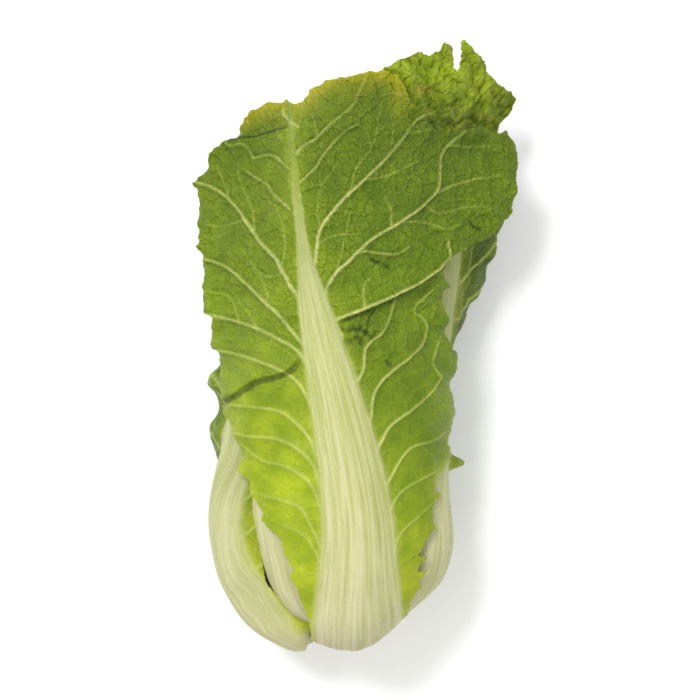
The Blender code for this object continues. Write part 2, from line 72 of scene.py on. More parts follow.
# outer leaves, innermost first: name, direction (deg, 0 = up, positive = towards +X), drift of the direction
# along the leaf (deg), share of the head's radius, length share, width share
OUTER_LEAVES = [
    ("outer_leaf_5", 20, 4, 0.62, 1.01, 0.86),
    ("outer_leaf_4", -125, -8, 0.67, 1.00, 0.90),
    ("outer_leaf_3", 98, 6, 0.72, 0.99, 0.92),
    ("outer_leaf_2", -36, -8, 0.77, 1.00, 0.94),
    ("outer_leaf_1", 126, 6, 0.82, 0.97, 0.96),
    ("back_leaf", 180, 0, 0.86, 0.94, 1.00),
    ("left_leaf", -71, -8, 0.89, 0.96, 0.93),
    ("right_leaf", 63, 4, 0.91, 1.08, 1.04),
]
# inner leaves, innermost first
INNER_LEAVES = [
    ("inner_leaf_8", 40, 0, 0.17, 0.97, 0.34),
    ("inner_leaf_7", -97, 0, 0.22, 0.98, 0.40),
    ("inner_leaf_6", 126, 0, 0.27, 0.98, 0.46),
    ("inner_leaf_5", -12, 0, 0.32, 0.99, 0.52),
    ("inner_leaf_4", -150, 0, 0.37, 0.99, 0.58),
    ("inner_leaf_3", 72, 0, 0.42, 0.99, 0.64),
    ("inner_leaf_2", -65, 0, 0.47, 0.99, 0.70),
    ("inner_leaf_1", 157, 0, 0.52, 0.99, 0.78),
]
HEART_SHARE = 0.11           # share of the radius filled by the closed heart
INNER_TARGET = 0.50          # share of the radius where the inner leaves end
HEAD_TARGET = [(0, 0.86), (0.1, 0.92), (0.2, 0.95), (1, 0.95)]

OUTER_ROWS = [0.006, 0.035, 0.08, 0.13, 0.19, 0.26, 0.34, 0.43, 0.52, 0.61, 0.70, 0.79, 0.87, 0.94, 1.0, 1.04, 1.08]
INNER_ROWS = [0.006, 0.08, 0.19, 0.34, 0.52, 0.70, 0.87, 1.0]
OUTER_COLUMNS = 24
INNER_COLUMNS = 12

# outline of the front leaf seen from above, in mm: x across the head, y from the cut base
FRONT_OUTLINE = [
    (-23, -15), (24, -15), (24.5, 8), (25.5, 14), (28.4, 18.5),
    (29.6, 27), (32, 31), (35.4, 35), (33, 37.4), (38, 43.4), (33, 43), (33.3, 46), (38, 50.4), (33.5, 51.5),
    (36.4, 58.8), (42.6, 66.2), (39.6, 69.4), (40.6, 76), (46.8, 82.2), (42.2, 83.2), (42.8, 89.6), (46, 93.8),
    (52, 101), (49, 108.7), (52.9, 124), (51, 139.6), (55.2, 147.9), (55.2, 156.5), (52, 158.6), (46.3, 167),
    (50, 170.6), (45, 186.2), (50, 190.8), (46.3, 195.5), (45.8, 202.8), (51, 206.4), (57, 210), (63, 213.7),
    (71.3, 217), (77.4, 224), (83.2, 228.9), (85.8, 245.6), (86.9, 260), (84.5, 267), (79.6, 273), (73.8, 272),
    (66.6, 275.6), (58.3, 273), (47.4, 273), (40.3, 275.6), (38, 280), (28.6, 284), (25, 292), (22, 299),
    (14, 301), (7, 300.6), (-2.6, 298), (-14.6, 295.7), (-22.9, 290.9), (-24.8, 286.2), (-31.2, 285), (-34.8, 288),
    (-43.2, 287.6), (-54, 284), (-60.6, 276.6), (-61.6, 270.5), (-68.3, 268.3), (-77.3, 261), (-78, 255),
    (-86.8, 246.8), (-83.2, 240.8), (-83.8, 229), (-82.7, 219.4), (-84.4, 212.4), (-80.9, 207.6), (-79.6, 190.8),
    (-79, 177.8), (-75.4, 174.2), (-75.4, 160.2), (-71.2, 156.5), (-71.2, 148.2), (-68.3, 130), (-69.7, 124.3),
    (-64.2, 115.7), (-62.4, 110.8), (-59.3, 104.5), (-61.4, 93.8), (-54.6, 89.4), (-54, 82.2), (-47.5, 73.8),
    (-49, 69.4), (-44.2, 65.1), (-38, 59.8), (-36.4, 51), (-31.7, 45), (-33.8, 40.7), (-30.2, 34.3), (-27.6, 26),
    (-24.1, 17.4), (-23, 5.7)]
# centre line of its midrib seen from above
FRONT_MIDRIB = [(0, 1.5), (6, 1.5), (58, 1.8), (95, -2), (111, -5), (131, -9), (167, -17.6), (191, -22.8), (215, -27),
                (233, -29), (257, -31), (272, -32), (300, -34)]
FRONT_RIB_HALF_WIDTH = [(0, 22), (5, 23.5), (58, 19.5), (95, 17.2), (131, 14.2), (167, 10.1), (191, 6.4), (215, 3),
                        (233, 2.7), (257, 2.1), (272, 1.8), (300, 1)]
FRONT_TANGENT = 38.0         # beyond this direction the front leaf's blade leaves the head and spreads (deg)
# the same for the right leaf's upper half, against the station along it
RIGHT_TANGENT = [(0, 76), (0.5, 74), (0.72, 56), (0.9, 50), (1.1, 48)]
# direction its outer edge reaches, against the station along it
RIGHT_REACH = [(0, 112), (0.15, 118), (0.3, 132), (0.42, 130), (0.55, 116), (0.7, 108), (1.1, 104)]
# inner edge of the left leaf's lower wing seen from above: distance from the cut base, x
LEFT_EDGE = [(-15, -10), (5.7, -23), (20.5, -41), (36.4, -48.6), (57.7, -50.7), (82.2, -53.5), (100, -54), (120, -46),
             (150, -30), (200, -5), (340, 20)]
# outline of the right leaf's upper half seen from above; its tip stands past the front leaf
RIGHT_OUTLINE = [
    (54, 100), (54.5, 148), (55.6, 157.6), (57, 174), (60.6, 187.3), (69, 200.5), (71.8, 213.7), (75, 225), (77.5, 240),
    (77, 255), (74.5, 265), (74.9, 273), (82.2, 281.3), (84.2, 288), (81.1, 293.3), (74.4, 294.3), (67.6, 303),
    (66.6, 310), (59.3, 317.2), (55.1, 320.8), (54.6, 307.8), (52.8, 304), (51, 305), (50.4, 315), (46.8, 317.7),
    (43.7, 312.5), (38, 309.4), (33.3, 312), (23.4, 308), (15, 305), (10, 296), (-10, 285), (-34, 270), (-40, 200),
    (-40, 100)]


def hermite(points, x):
    """Smooth curve through (x, y) points, without overshoot."""
    p = np.asarray(points, float)
    xs, ys = p[:, 0], p[:, 1]
    x = np.asarray(x, float)
    h = np.diff(xs)
    d = np.diff(ys) / h
    m = np.zeros(len(xs))
    m[0], m[-1] = d[0], d[-1]
    for i in range(1, len(xs) - 1):
        if d[i - 1] * d[i] > 0:
            a, b = 2 * h[i] + h[i - 1], h[i] + 2 * h[i - 1]
            m[i] = (a + b) / (a / d[i - 1] + b / d[i])
    i = np.clip(np.searchsorted(xs, x) - 1, 0, len(xs) - 2)
    s = (x - xs[i]) / h[i]
    low, high = x < xs[0], x > xs[-1]
    s = np.clip(s, 0, 1)
    out = ((2 * s ** 3 - 3 * s ** 2 + 1) * ys[i] + (s ** 3 - 2 * s ** 2 + s) * h[i] * m[i]
           + (-2 * s ** 3 + 3 * s ** 2) * ys[i + 1] + (s ** 3 - s ** 2) * h[i] * m[i + 1])
    out = np.where(low, ys[0] + m[0] * (x - xs[0]), out)
    return np.where(high, ys[-1] + m[-1] * (x - xs[-1]), out)


_T = np.linspace(0, 1.12, 449)


def run_along(profile):
    """A profile's radius and height against the share of its length, at the stations of _T."""
    p = np.asarray(profile, float)
    run = np.concatenate([[0], np.cumsum(np.hypot(*np.diff(p, axis=0).T))])
    run /= run[-1]
    return hermite(list(zip(run, p[:, 0])), _T), hermite(list(zip(run, p[:, 1])), _T)


_RC, _YC = run_along(HEAD_PROFILE)
_RO, _YO = run_along(OPEN_PROFILE)
_RC = np.maximum(_RC, 4.0)
_Y0 = hermite(list(zip(np.linspace(0, 1, len(CORE_HEIGHTS)), CORE_HEIGHTS)), _T)


def head_radius(t, is_open=False):
    return np.interp(t, _T, _RO if is_open else _RC)


def thickness_scale(t, is_open=False):
    """Length of the line from the core to the head's outside, at one station along the leaves."""
    y1 = np.interp(t, _T, _YO if is_open else _YC)
    return np.hypot(head_radius(t, is_open) - CORE_RADIUS, y1 - np.interp(t, _T, _Y0))


def soft_plus(x, k):
    return k * np.logaddexp(0, x / k)


def place(t, a, lam, is_open=False):
    """Station t along the leaves, direction a (radians), share lam of the radius -> x, y, z in mm."""
    r = CORE_RADIUS + lam * (head_radius(t, is_open) - CORE_RADIUS)
    y0 = np.interp(t, _T, _Y0)
    y = y0 + lam * (np.interp(t, _T, _YO if is_open else _YC) - y0)
    c = np.cos(a)
    x = r * np.sin(a)
    z = CENTRE_HEIGHT + r * c * (LOW_SQUASH + (TOP_SQUASH - LOW_SQUASH) * 0.5 * (1 + c))
    y = y + BASE_SLANT * soft_plus(x, 6.0) * np.exp(-np.maximum(y, -20) / 50.0)
    x = x + hermite(AXIS_BOW, y)
    z = np.where(z < SAG_START, SAG_START - SAG_DEPTH * (1 - np.exp(-(SAG_START - np.minimum(z, SAG_START)) / SAG_DEPTH)), z)
    return x, y, z


def outline_distance(outline, x, y):
    """Signed distance to a closed outline, positive inside."""
    p = np.asarray(outline, float)
    q = np.roll(p, -1, axis=0)
    shape = np.shape(x)
    x = np.ravel(x)
    y = np.ravel(y)
    best = np.full(len(x), 1e9)
    inside = np.zeros(len(x), bool)
    for (ax, ay), (bx, by) in zip(p, q):
        dx, dy = bx - ax, by - ay
        n = dx * dx + dy * dy
        if n < 1e-12:
            continue
        s = np.clip(((x - ax) * dx + (y - ay) * dy) / n, 0, 1)
        best = np.minimum(best, np.hypot(x - ax - s * dx, y - ay - s * dy))
        if ay != by:
            cross = (ay > y) != (by > y)
            inside ^= cross & (x < (bx - ax) * (y - ay) / (by - ay) + ax)
    return np.where(inside, best, -best).reshape(shape)


def turn(a, centre):
    """Angle from centre to a, in (-pi, pi]."""
    return (a - centre + math.pi) % (2 * math.pi) - math.pi


def head_lift(t, a, tangent_deg, centre_deg, amount):
    """Factor on the radius that lets a blade leave the head along a tangent on both sides of its centre."""
    d = np.abs(turn(a, math.radians(centre_deg))) - math.radians(tangent_deg)
    d = np.clip(d, 0, math.radians(62))
    return 1 + amount * (1 / np.cos(d) - 1)


def ramp(x, lo, hi):
    s = np.clip((x - lo) / (hi - lo), 0, 1)
    return s * s * (3 - 2 * s)


def lifted(lam, t, factor):
    r1 = head_radius(t, True)
    return ((CORE_RADIUS + lam * (r1 - CORE_RADIUS)) * factor - CORE_RADIUS) / (r1 - CORE_RADIUS)


def right_lift(t, a):
    """The right leaf's upper blade stands off the head on the outer side, and its tip opens out."""
    b = turn(a, math.radians(40))
    d = np.clip(b - np.radians(hermite(RIGHT_TANGENT, t) - 40), 0, math.radians(56))
    fade = 1 - ramp(b, math.radians(66), math.radians(90))
    return 1 + (0.22 * ramp(t, 0.8, 1.06) + ramp(t, 0.5, 0.66) * (1 / np.cos(d) - 1)) * fade


def right_edge(t, a):
    """Room left inside the right leaf's spreading edge, in mm."""
    lam = lifted(0.90, t, right_lift(t, a))
    x, y, _ = place(t, a, lam, True)
    m = outline_distance(RIGHT_OUTLINE, x, y) + 400 * (1 - ramp(t, 0.44, 0.60))
    limit = np.radians(hermite(RIGHT_REACH, t) - 40)
    return np.minimum(m, (limit - turn(a, math.radians(40))) * head_radius(t, True))


def left_edge(t, a):
    """Room left inside the left leaf's inner edge, in mm."""
    b = np.minimum(turn(a, math.radians(-90)), 0)
    r = CORE_RADIUS + 0.89 * (head_radius(t) - CORE_RADIUS)
    x, y, _ = place(t, np.where(b < 0, math.radians(-90), a), 0.89)
    return hermite(LEFT_EDGE, y) - x - b * r


def front_lift(t, a):
    return head_lift(t, a, FRONT_TANGENT, 0.0, ramp(t, 0.45, 0.68))


def leaf_margin(leaf, t, a):
    """Distance in mm inside a leaf's edge (negative outside), its midrib offset in mm, and the local radius."""
    name, direction, drift, share, length, width = leaf
    r = CORE_RADIUS + share * (head_radius(t, name == "right_leaf") - CORE_RADIUS)
    centre = math.radians(direction) + math.radians(drift) * np.clip((t - 0.15) / 0.85, 0, 1) ** 1.2
    off = turn(a, centre) * r
    s = np.clip(t / length, 0, 1.2) * LEAF_LENGTH
    w = hermite(LEAF_HALF_WIDTH, np.minimum(s, LEAF_LENGTH)) * width
    w = np.minimum(w, r * math.radians(150))
    w = np.maximum(w, 12.0)
    side = w - np.abs(off)
    tip = (length - t) * LEAF_LENGTH - 0.004 * off ** 2
    m = np.minimum(side, tip)
    # a rounded corner where the side meets the tip
    both = (side < 25) & (tip < 25)
    m = np.where(both, 25 - np.hypot(25 - np.minimum(side, 25), 25 - np.minimum(tip, 25)), m)
    return m, off, s


def leaf_space(leaf, t, a, m, off, s):
    """Room a leaf takes across its thickness, in mm."""
    share, width = leaf[3], leaf[5]
    k = 0.35 + 0.65 * share
    rib_w = hermite(RIB_HALF_WIDTH, s) * max(width, 0.5)
    rib = hermite(RIB_THICKNESS, s) * k
    blade = hermite(BLADE_SPACE, s) * (0.75 + 0.25 * share)
    u = np.clip(1 - (np.abs(off) / (rib_w + 6.0)) ** 2, 0, 1)
    return np.maximum(blade, blade + (rib - blade) * u) + 0 * m


def grow(mask):
    """One ring of neighbours more, round the head and along it."""
    out = mask.copy()
    for dj in (-1, 0, 1):
        r = np.roll(mask, dj, axis=1)
        out |= r
        out[1:] |= r[:-1]
        out[:-1] |= r[1:]
    return out


def spread(f):
    """One round of averaging along and round the head."""
    e = np.concatenate([f[:1], f, f[-1:]])
    g = 0.25 * e[:-2] + 0.5 * e[1:-1] + 0.25 * e[2:]
    return 0.25 * np.roll(g, 1, axis=1) + 0.5 * g + 0.25 * np.roll(g, -1, axis=1)


def stack(leaves, rows, columns, floor_lam, target, gap, stiffness):
    """Lays leaves over one another on a grid of stations and directions.

    Returns the grid and, per leaf, (margin, inner share, outer share).
    """
    t = np.asarray(rows, float)[:, None] * np.ones((1, columns))
    a = np.linspace(0, 2 * math.pi, columns, endpoint=False)[None, :] * np.ones((len(rows), 1))
    d = thickness_scale(t)
    d_open = thickness_scale(t, True)
    shapes = []
    for leaf in leaves:
        m, off, s = leaf_margin(leaf, t, a)
        if leaf[0] == "right_leaf":
            m = np.minimum(m, right_edge(t, a))
        else:
            m = clip_to_head(m, t, a, leaf[3])
        if leaf[0] == "left_leaf":
            m = np.minimum(m, left_edge(t, a))
        m = np.where(np.abs(m) < 1.5, np.where(m >= 0, 1.5, -1.5), m)
        m = largest_patch(m)
        shapes.append((leaf[0], leaf[3], m, leaf_space(leaf, t, a, m, off, s), grow(m > 0)))
    scale = np.ones_like(t)

    def lay(with_lift):
        lam = np.zeros_like(t) + floor_lam
        gaps = np.zeros_like(t)
        out = []
        for name, share, m, space, there in shapes:
            base = np.maximum(lam, 0.92 * share * stiffness)
            for _ in range(2):
                base = np.maximum(base, spread(base))
            dd = d_open if name == "right_leaf" else d
            lin = base + gap / dd
            if with_lift and name == "right_leaf":
                lin = lifted(lin, t, right_lift(t, a))
            lout = lin + space * scale / dd
            out.append((m, lin, lout))
            gaps = gaps + np.where(there, gap / d, 0)
            lam = np.where(there, lout, lam)
        return lam, gaps, out

    for _ in range(10):
        lam, gaps, out = lay(False)
        mean = lam
        for _ in range(2):
            mean = spread(mean)
        want = (target - floor_lam - spread(gaps)) / np.maximum(mean - floor_lam - spread(gaps), 0.02)
        scale = np.clip(spread(scale * np.clip(want, 0.6, 1.6)), 0.45, 1.5)
    lam, gaps, out = lay(True)
    return t, a, out, lam


def plan_of(t, a, share):
    x, y, _ = place(t, a, share)
    return x, y


def clip_to_head(m, t, a, share):
    """Leaf tips end just short of the front leaf's outline, so that it covers them from above."""
    x, y = plan_of(t, a, share)
    inside = np.maximum(outline_distance(FRONT_OUTLINE, x, y), outline_distance(RIGHT_OUTLINE, x, y)) - 4.0
    return np.where(y > 235, np.minimum(m, inside), m)


def largest_patch(m):
    """Keeps one connected patch of a margin field; the rest is pushed outside."""
    on = m > 0
    rows, cols = on.shape
    label = np.zeros(on.shape, int)
    best, count = 0, 0
    for i in range(rows):
        for j in range(cols):
            if on[i, j] and not label[i, j]:
                count += 1
                todo = [(i, j)]
                label[i, j] = count
                n = 0
                while todo:
                    p, q = todo.pop()
                    n += 1
                    for di, dj in ((1, 0), (-1, 0), (0, 1), (0, -1)):
                        u, v = p + di, (q + dj) % cols
                        if 0 <= u < rows and on[u, v] and not label[u, v]:
                            label[u, v] = count
                            todo.append((u, v))
                if n > best:
                    best, keep = n, count
    if best == 0:
        return m
    return np.where(on & (label != keep), -2.0, m)


def sheet(m, outer, inner, closed_round=True):
    """Closed solid between two point grids (rows x columns x 3) where m > 0, as vertices and triangles."""
    rows, cols = m.shape
    verts_out, verts_in, index = [], [], {}

    def node(i, j):
        key = (i, j)
        if key not in index:
            index[key] = len(verts_out)
            verts_out.append(outer[i, j])
            verts_in.append(inner[i, j])
        return index[key]

    def cross(a, b):
        if b < a:
            a, b = b, a
        key = (a, b)
        if key not in index:
            ma, mb = m[a], m[b]
            k = ma / (ma - mb)
            index[key] = len(verts_out)
            verts_out.append(outer[a] + (outer[b] - outer[a]) * k)
            verts_in.append(inner[a] + (inner[b] - inner[a]) * k)
        return index[key]

    tris = []
    last = cols if closed_round else cols - 1
    for i in range(rows - 1):
        for j in range(last):
            j2 = (j + 1) % cols
            quad = [(i, j), (i, j2), (i + 1, j2), (i + 1, j)]
            for tri in ((quad[0], quad[1], quad[2]), (quad[0], quad[2], quad[3])):
                poly = []
                for k in range(3):
                    p, q = tri[k], tri[(k + 1) % 3]
                    if m[p] > 0:
                        poly.append(node(*p))
                    if (m[p] > 0) != (m[q] > 0):
                        poly.append(cross(p, q))
                for k in range(1, len(poly) - 1):
                    tris.append((poly[0], poly[k], poly[k + 1]))
    n = len(verts_out)
    edges = {}
    for a, b, c in tris:
        for e in ((a, b), (b, c), (c, a)):
            edges[e] = True
    faces = [(a, b, c) for a, b, c in tris]
    faces += [(a + n, c + n, b + n) for a, b, c in tris]
    for (a, b) in list(edges):
        if (b, a) not in edges:
            faces.append((b, a, a + n))
            faces.append((b, a + n, b + n))
    return np.array(verts_out + verts_in), faces


def front_stack(t, a, lam, gap):
    """The front leaf over everything else: margin, inner share, outer share."""
    d = thickness_scale(t, True)
    base = np.maximum(lam, 0.90)
    for _ in range(3):
        base = np.maximum(base, spread(base))
    lin = lifted(base + gap / d, t, front_lift(t, a))
    x, y, _ = place(t, a, lin, True)
    rib_w = hermite(FRONT_RIB_HALF_WIDTH, y)
    off = x - hermite(FRONT_MIDRIB, y)
    s = t * LEAF_LENGTH
    u = np.clip(1 - (np.abs(off) / (rib_w + 4.0)) ** 2, 0, 1)
    blade = hermite([(0, 1.6), (60, 1.8), (120, 2.4), (200, 3.0), (343, 3.0)], s)
    space = blade + (hermite(RIB_THICKNESS, s) - blade).clip(0) * u
    lout = lin + space / d
    x, y, _ = place(t, a, lout, True)
    m = outline_distance(FRONT_OUTLINE, x, y)
    m = np.minimum(m, (math.radians(100) - np.abs(turn(a, 0.0))) * head_radius(t, True))
    m = np.where(np.abs(m) < 1.5, np.where(m >= 0, 1.5, -1.5), m)
    return largest_patch(m), lin, lout


def build_stacks():
    """Everything the leaves need: grids and, per leaf, margins and shares."""
    it, ia, inner, ilam = stack(INNER_LEAVES, INNER_ROWS, INNER_COLUMNS, HEART_SHARE, INNER_TARGET, GAP, 0.0)
    round_lam = np.interp(OUTER_ROWS, INNER_ROWS, ilam.max(axis=1))[:, None]
    rows = np.asarray(OUTER_ROWS)[:, None]
    floor_lam = round_lam + GROUP_GAP / thickness_scale(rows)
    target = hermite(HEAD_TARGET, rows)
    ot, oa, outer, olam = stack(OUTER_LEAVES, OUTER_ROWS, OUTER_COLUMNS, floor_lam, target, GAP, 1.0)
    front = front_stack(ot, oa, olam, GAP)
    return (it, ia, inner), (ot, oa, outer, front)


def grid_points(t, a, lam, is_open=False):
    return np.stack(place(t, a, lam, is_open), axis=-1)


def floor_height(t, a, m, lout):
    """Level of the surface the head lies on: the back leaf's rib is pressed flat against it."""
    return place(t, a, lout)[2][m > 0].min() + FLAT_DEPTH


def lathe(profile, columns):
    """Closed solid round the axis from (station, share) pairs; both ends close on the axis."""
    a = np.linspace(0, 2 * math.pi, columns, endpoint=False)
    rings = [np.stack(place(np.full(columns, t), a, np.full(columns, s)), axis=-1) for t, s in profile]
    verts = np.concatenate(rings)
    faces = []
    for k in range(len(rings) - 1):
        for j in range(columns):
            j2 = (j + 1) % columns
            p, q = k * columns + j, k * columns + j2
            r, s = p + columns, q + columns
            faces += [(p, q, s), (p, s, r)]
    lo, hi = len(verts), len(verts) + 1
    verts = np.concatenate([verts, rings[0].mean(axis=0)[None], rings[-1].mean(axis=0)[None]])
    for j in range(columns):
        j2 = (j + 1) % columns
        faces.append((lo, j2, j))
        n = (len(rings) - 1) * columns
        faces.append((hi, n + j, n + j2))
    return verts, faces


def signed_volume(verts, faces):
    f = np.asarray(faces)
    a, b, c = verts[f[:, 0]], verts[f[:, 1]], verts[f[:, 2]]
    return np.einsum("ij,ij->i", a, np.cross(b, c)).sum() / 6


BACK = [leaf[0] for leaf in OUTER_LEAVES].index("back_leaf")


def all_solids():
    """Every piece's vertices (mm) and triangles, centred on the footprint with the flat underside at zero."""
    (it, ia, inner), (ot, oa, outer, front) = build_stacks()
    floor = floor_height(ot, oa, *[outer[BACK][k] for k in (0, 2)])
    solids = {}
    for leaf, (m, lin, lout) in zip(INNER_LEAVES, inner):
        solids[leaf[0]] = sheet(m, grid_points(it, ia, lout), grid_points(it, ia, lin))
    for leaf, (m, lin, lout) in zip(OUTER_LEAVES, outer):
        stands = leaf[0] == "right_leaf"
        top = grid_points(ot, oa, lout, stands)
        if leaf[0] == "back_leaf":
            top[..., 2] = np.maximum(top[..., 2], floor)
        solids[leaf[0]] = sheet(m, top, grid_points(ot, oa, lin, stands))
    m, lin, lout = front
    solids["front_leaf"] = sheet(m, grid_points(ot, oa, lout, True), grid_points(ot, oa, lin, True))
    edge = GAP / float(thickness_scale(0.5))
    rows = [0.03] + [r for r in INNER_ROWS if 0.03 < r <= 0.9]
    solids["heart"] = lathe([(rows[0], 0.0)] + [(r, HEART_SHARE - edge) for r in rows] + [(rows[-1], 0.0)], INNER_COLUMNS)
    solids["stem"] = lathe([(0.0, 0.0), (0.0, 0.35), (0.0, 0.7), (0.0, 0.97), (-0.012, 0.955)], OUTER_COLUMNS)
    for name, (v, f) in solids.items():
        if signed_volume(v, f) < 0:
            solids[name] = (v, [(a, c, b) for a, b, c in f])
    every = np.concatenate([v for v, _ in solids.values()])
    lo, hi = every.min(axis=0), every.max(axis=0)
    shift = np.array([(lo[0] + hi[0]) / 2, (lo[1] + hi[1]) / 2, floor])
    return {name: (v - shift, f) for name, (v, f) in solids.items()}, shift


# ---- the visual model ----

def shadeless_hash(i, j, seed):
    n = (i * 374761393 + j * 668265263 + seed * 1442695041) & 0xFFFFFFFF
    n = ((n ^ (n >> 13)) * 1274126177) & 0xFFFFFFFF
    return ((n ^ (n >> 16)) & 0xFFFF) / 65536.0


def noise(x, y, seed=0):
    """Smooth random field, roughly -1 to 1, one feature per unit."""
    x, y = np.broadcast_arrays(np.asarray(x, float), np.asarray(y, float))
    i, j = np.floor(x).astype(np.int64), np.floor(y).astype(np.int64)
    u, v = x - i, y - j

    def corner(di, dj):
        h = shadeless_hash(i + di, j + dj, seed) * 2 * math.pi
        return np.cos(h) * (u - di) + np.sin(h) * (v - dj)

    fu = u * u * u * (u * (u * 6 - 15) + 10)
    fv = v * v * v * (v * (v * 6 - 15) + 10)
    low = corner(0, 0) * (1 - fu) + corner(1, 0) * fu
    high = corner(0, 1) * (1 - fu) + corner(1, 1) * fu
    return 1.5 * (low * (1 - fv) + high * fv)


def rough(x, y, seed=0, octaves=3):
    out, amp = 0.0, 1.0
    for k in range(octaves):
        out = out + amp * noise(x * 2 ** k + 17.3 * k, y * 2 ** k - 9.1 * k, seed + 31 * k)
        amp *= 0.5
    return out


def weights_rows(rows, t):
    """Matrix that carries values at uneven rows to stations t along smooth curves."""
    r = np.asarray(rows, float)
    n = len(r)
    i = np.clip(np.searchsorted(r, t, side="right") - 1, 0, n - 2)
    h = r[i + 1] - r[i]
    s = np.clip((t - r[i]) / h, 0, 1)
    slope = np.zeros((n, n))
    slope[0, :2] = -1 / (r[1] - r[0]), 1 / (r[1] - r[0])
    slope[-1, -2:] = -1 / (r[-1] - r[-2]), 1 / (r[-1] - r[-2])
    for k in range(1, n - 1):
        a, b = r[k] - r[k - 1], r[k + 1] - r[k]
        slope[k, k - 1], slope[k, k], slope[k, k + 1] = -b / (a * (a + b)), (b - a) / (a * b), a / (b * (a + b))
    w = np.zeros((len(t), n))
    at = np.arange(len(t))
    w[at, i] += 2 * s ** 3 - 3 * s ** 2 + 1
    w[at, i + 1] += -2 * s ** 3 + 3 * s ** 2
    w += (h * (s ** 3 - 2 * s ** 2 + s))[:, None] * slope[i] + (h * (s ** 3 - s ** 2))[:, None] * slope[i + 1]
    return w


def weights_round(count, a):
    """Matrix that carries values at even directions to directions a."""
    f = (np.asarray(a) % (2 * math.pi)) / (2 * math.pi) * count
    i = np.floor(f).astype(int)
    s = f - i
    w = np.zeros((len(s), count))
    at = np.arange(len(s))
    for k, v in ((-1, (-s ** 3 + 2 * s ** 2 - s) / 2), (0, (3 * s ** 3 - 5 * s ** 2 + 2) / 2),
                 (1, (-3 * s ** 3 + 4 * s ** 2 + s) / 2), (2, (s ** 3 - s ** 2) / 2)):
        w[at, (i + k) % count] += v
    return w


def smooth_line(points, step):
    """Points every step along a smooth line through the given points, with the share of the length."""
    p = np.asarray(points, float)
    e = np.concatenate([[2 * p[0] - p[1]], p, [2 * p[-1] - p[-2]]])
    parts = []
    for k in range(1, len(e) - 2):
        n = max(2, int(np.hypot(*(e[k + 1] - e[k])) / step) + 1)
        s = np.linspace(0, 1, n, endpoint=False)[:, None]
        parts.append(0.5 * ((2 * e[k]) + (e[k + 1] - e[k - 1]) * s + (2 * e[k - 1] - 5 * e[k] + 4 * e[k + 1] - e[k + 2]) * s ** 2
                            + (-e[k - 1] + 3 * e[k] - 3 * e[k + 1] + e[k + 2]) * s ** 3))
    q = np.concatenate(parts + [p[-1:]])
    run = np.concatenate([[0], np.cumsum(np.hypot(*np.diff(q, axis=0).T))])
    return q, run / max(run[-1], 1e-6)


class Field:
    """Values over a flat rectangle, in mm, sampled smoothly."""

    def __init__(self, x0, x1, y0, y1, cell):
        self.x0, self.y0, self.cell = x0, y0, cell
        self.shape = (int((y1 - y0) / cell) + 2, int((x1 - x0) / cell) + 2)
        self.ridge = np.zeros(self.shape)
        self.far = np.full(self.shape, 16.0)

    def stamp(self, q, width, strength):
        r = int(math.ceil(3.0 * float(np.max(width)) / self.cell)) + 1
        self._each(q, r, lambda d, k: strength[k] * np.exp(-(d / width[k]) ** 2), np.maximum, self.ridge)

    def reach(self, q):
        self._each(q, int(14 / self.cell), lambda d, k: d, np.minimum, self.far)

    def _each(self, q, r, value, keep, target):
        dj, di = np.meshgrid(np.arange(-r, r + 1), np.arange(-r, r + 1))
        dj, di = dj.ravel()[None], di.ravel()[None]
        for start in range(0, len(q), 400):
            p = q[start:start + 400]
            cj = np.round((p[:, 0] - self.x0) / self.cell).astype(int)[:, None] + dj
            ci = np.round((p[:, 1] - self.y0) / self.cell).astype(int)[:, None] + di
            d = np.hypot(self.x0 + cj * self.cell - p[:, :1], self.y0 + ci * self.cell - p[:, 1:2])
            k = np.arange(start, start + len(p))[:, None] + 0 * dj
            ok = (cj >= 0) & (cj < self.shape[1]) & (ci >= 0) & (ci < self.shape[0])
            keep.at(target, (ci[ok], cj[ok]), value(d[ok], k[ok]))

    def sample(self, grid, x, y):
        u = np.clip((x - self.x0) / self.cell, 0, self.shape[1] - 1.001)
        v = np.clip((y - self.y0) / self.cell, 0, self.shape[0] - 1.001)
        j, i = u.astype(int), v.astype(int)
        a, b = u - j, v - i
        return ((grid[i, j] * (1 - a) + grid[i, j + 1] * a) * (1 - b)
                + (grid[i + 1, j] * (1 - a) + grid[i + 1, j + 1] * a) * b)


def vein_field(veins, box, cell, spread_mm=2.2):
    """Veins as (half width at the start, at the end, points) laid into a field of ridges and distances."""
    f = Field(*box, cell)
    for w0, w1, points in veins:
        q, share = smooth_line(points, cell * 0.8)
        width = w0 + (w1 - w0) * share
        f.stamp(q, 0.22 + 0.42 * width, np.clip(0.30 + 0.55 * width, 0, 1.0) * (1 - 0.25 * share))
        if w0 > 0.7:
            f.reach(q[::3])
    return f


def connected(on, seed):
    """The patch of the mask joined to the seed node."""
    reach = np.zeros_like(on)
    reach[seed] = on[seed]
    while True:
        g = reach.copy()
        for _ in range(12):
            n = g.copy()
            n[1:] |= g[:-1]
            n[:-1] |= g[1:]
            n[:, 1:] |= g[:, :-1]
            n[:, :-1] |= g[:, 1:]
            g = n & on
        if (g == reach).all():
            return reach
        reach = g


def surface_normals(p):
    n = np.cross(np.gradient(p, axis=1), np.gradient(p, axis=0))
    return n / np.maximum(np.linalg.norm(n, axis=-1, keepdims=True), 1e-9)


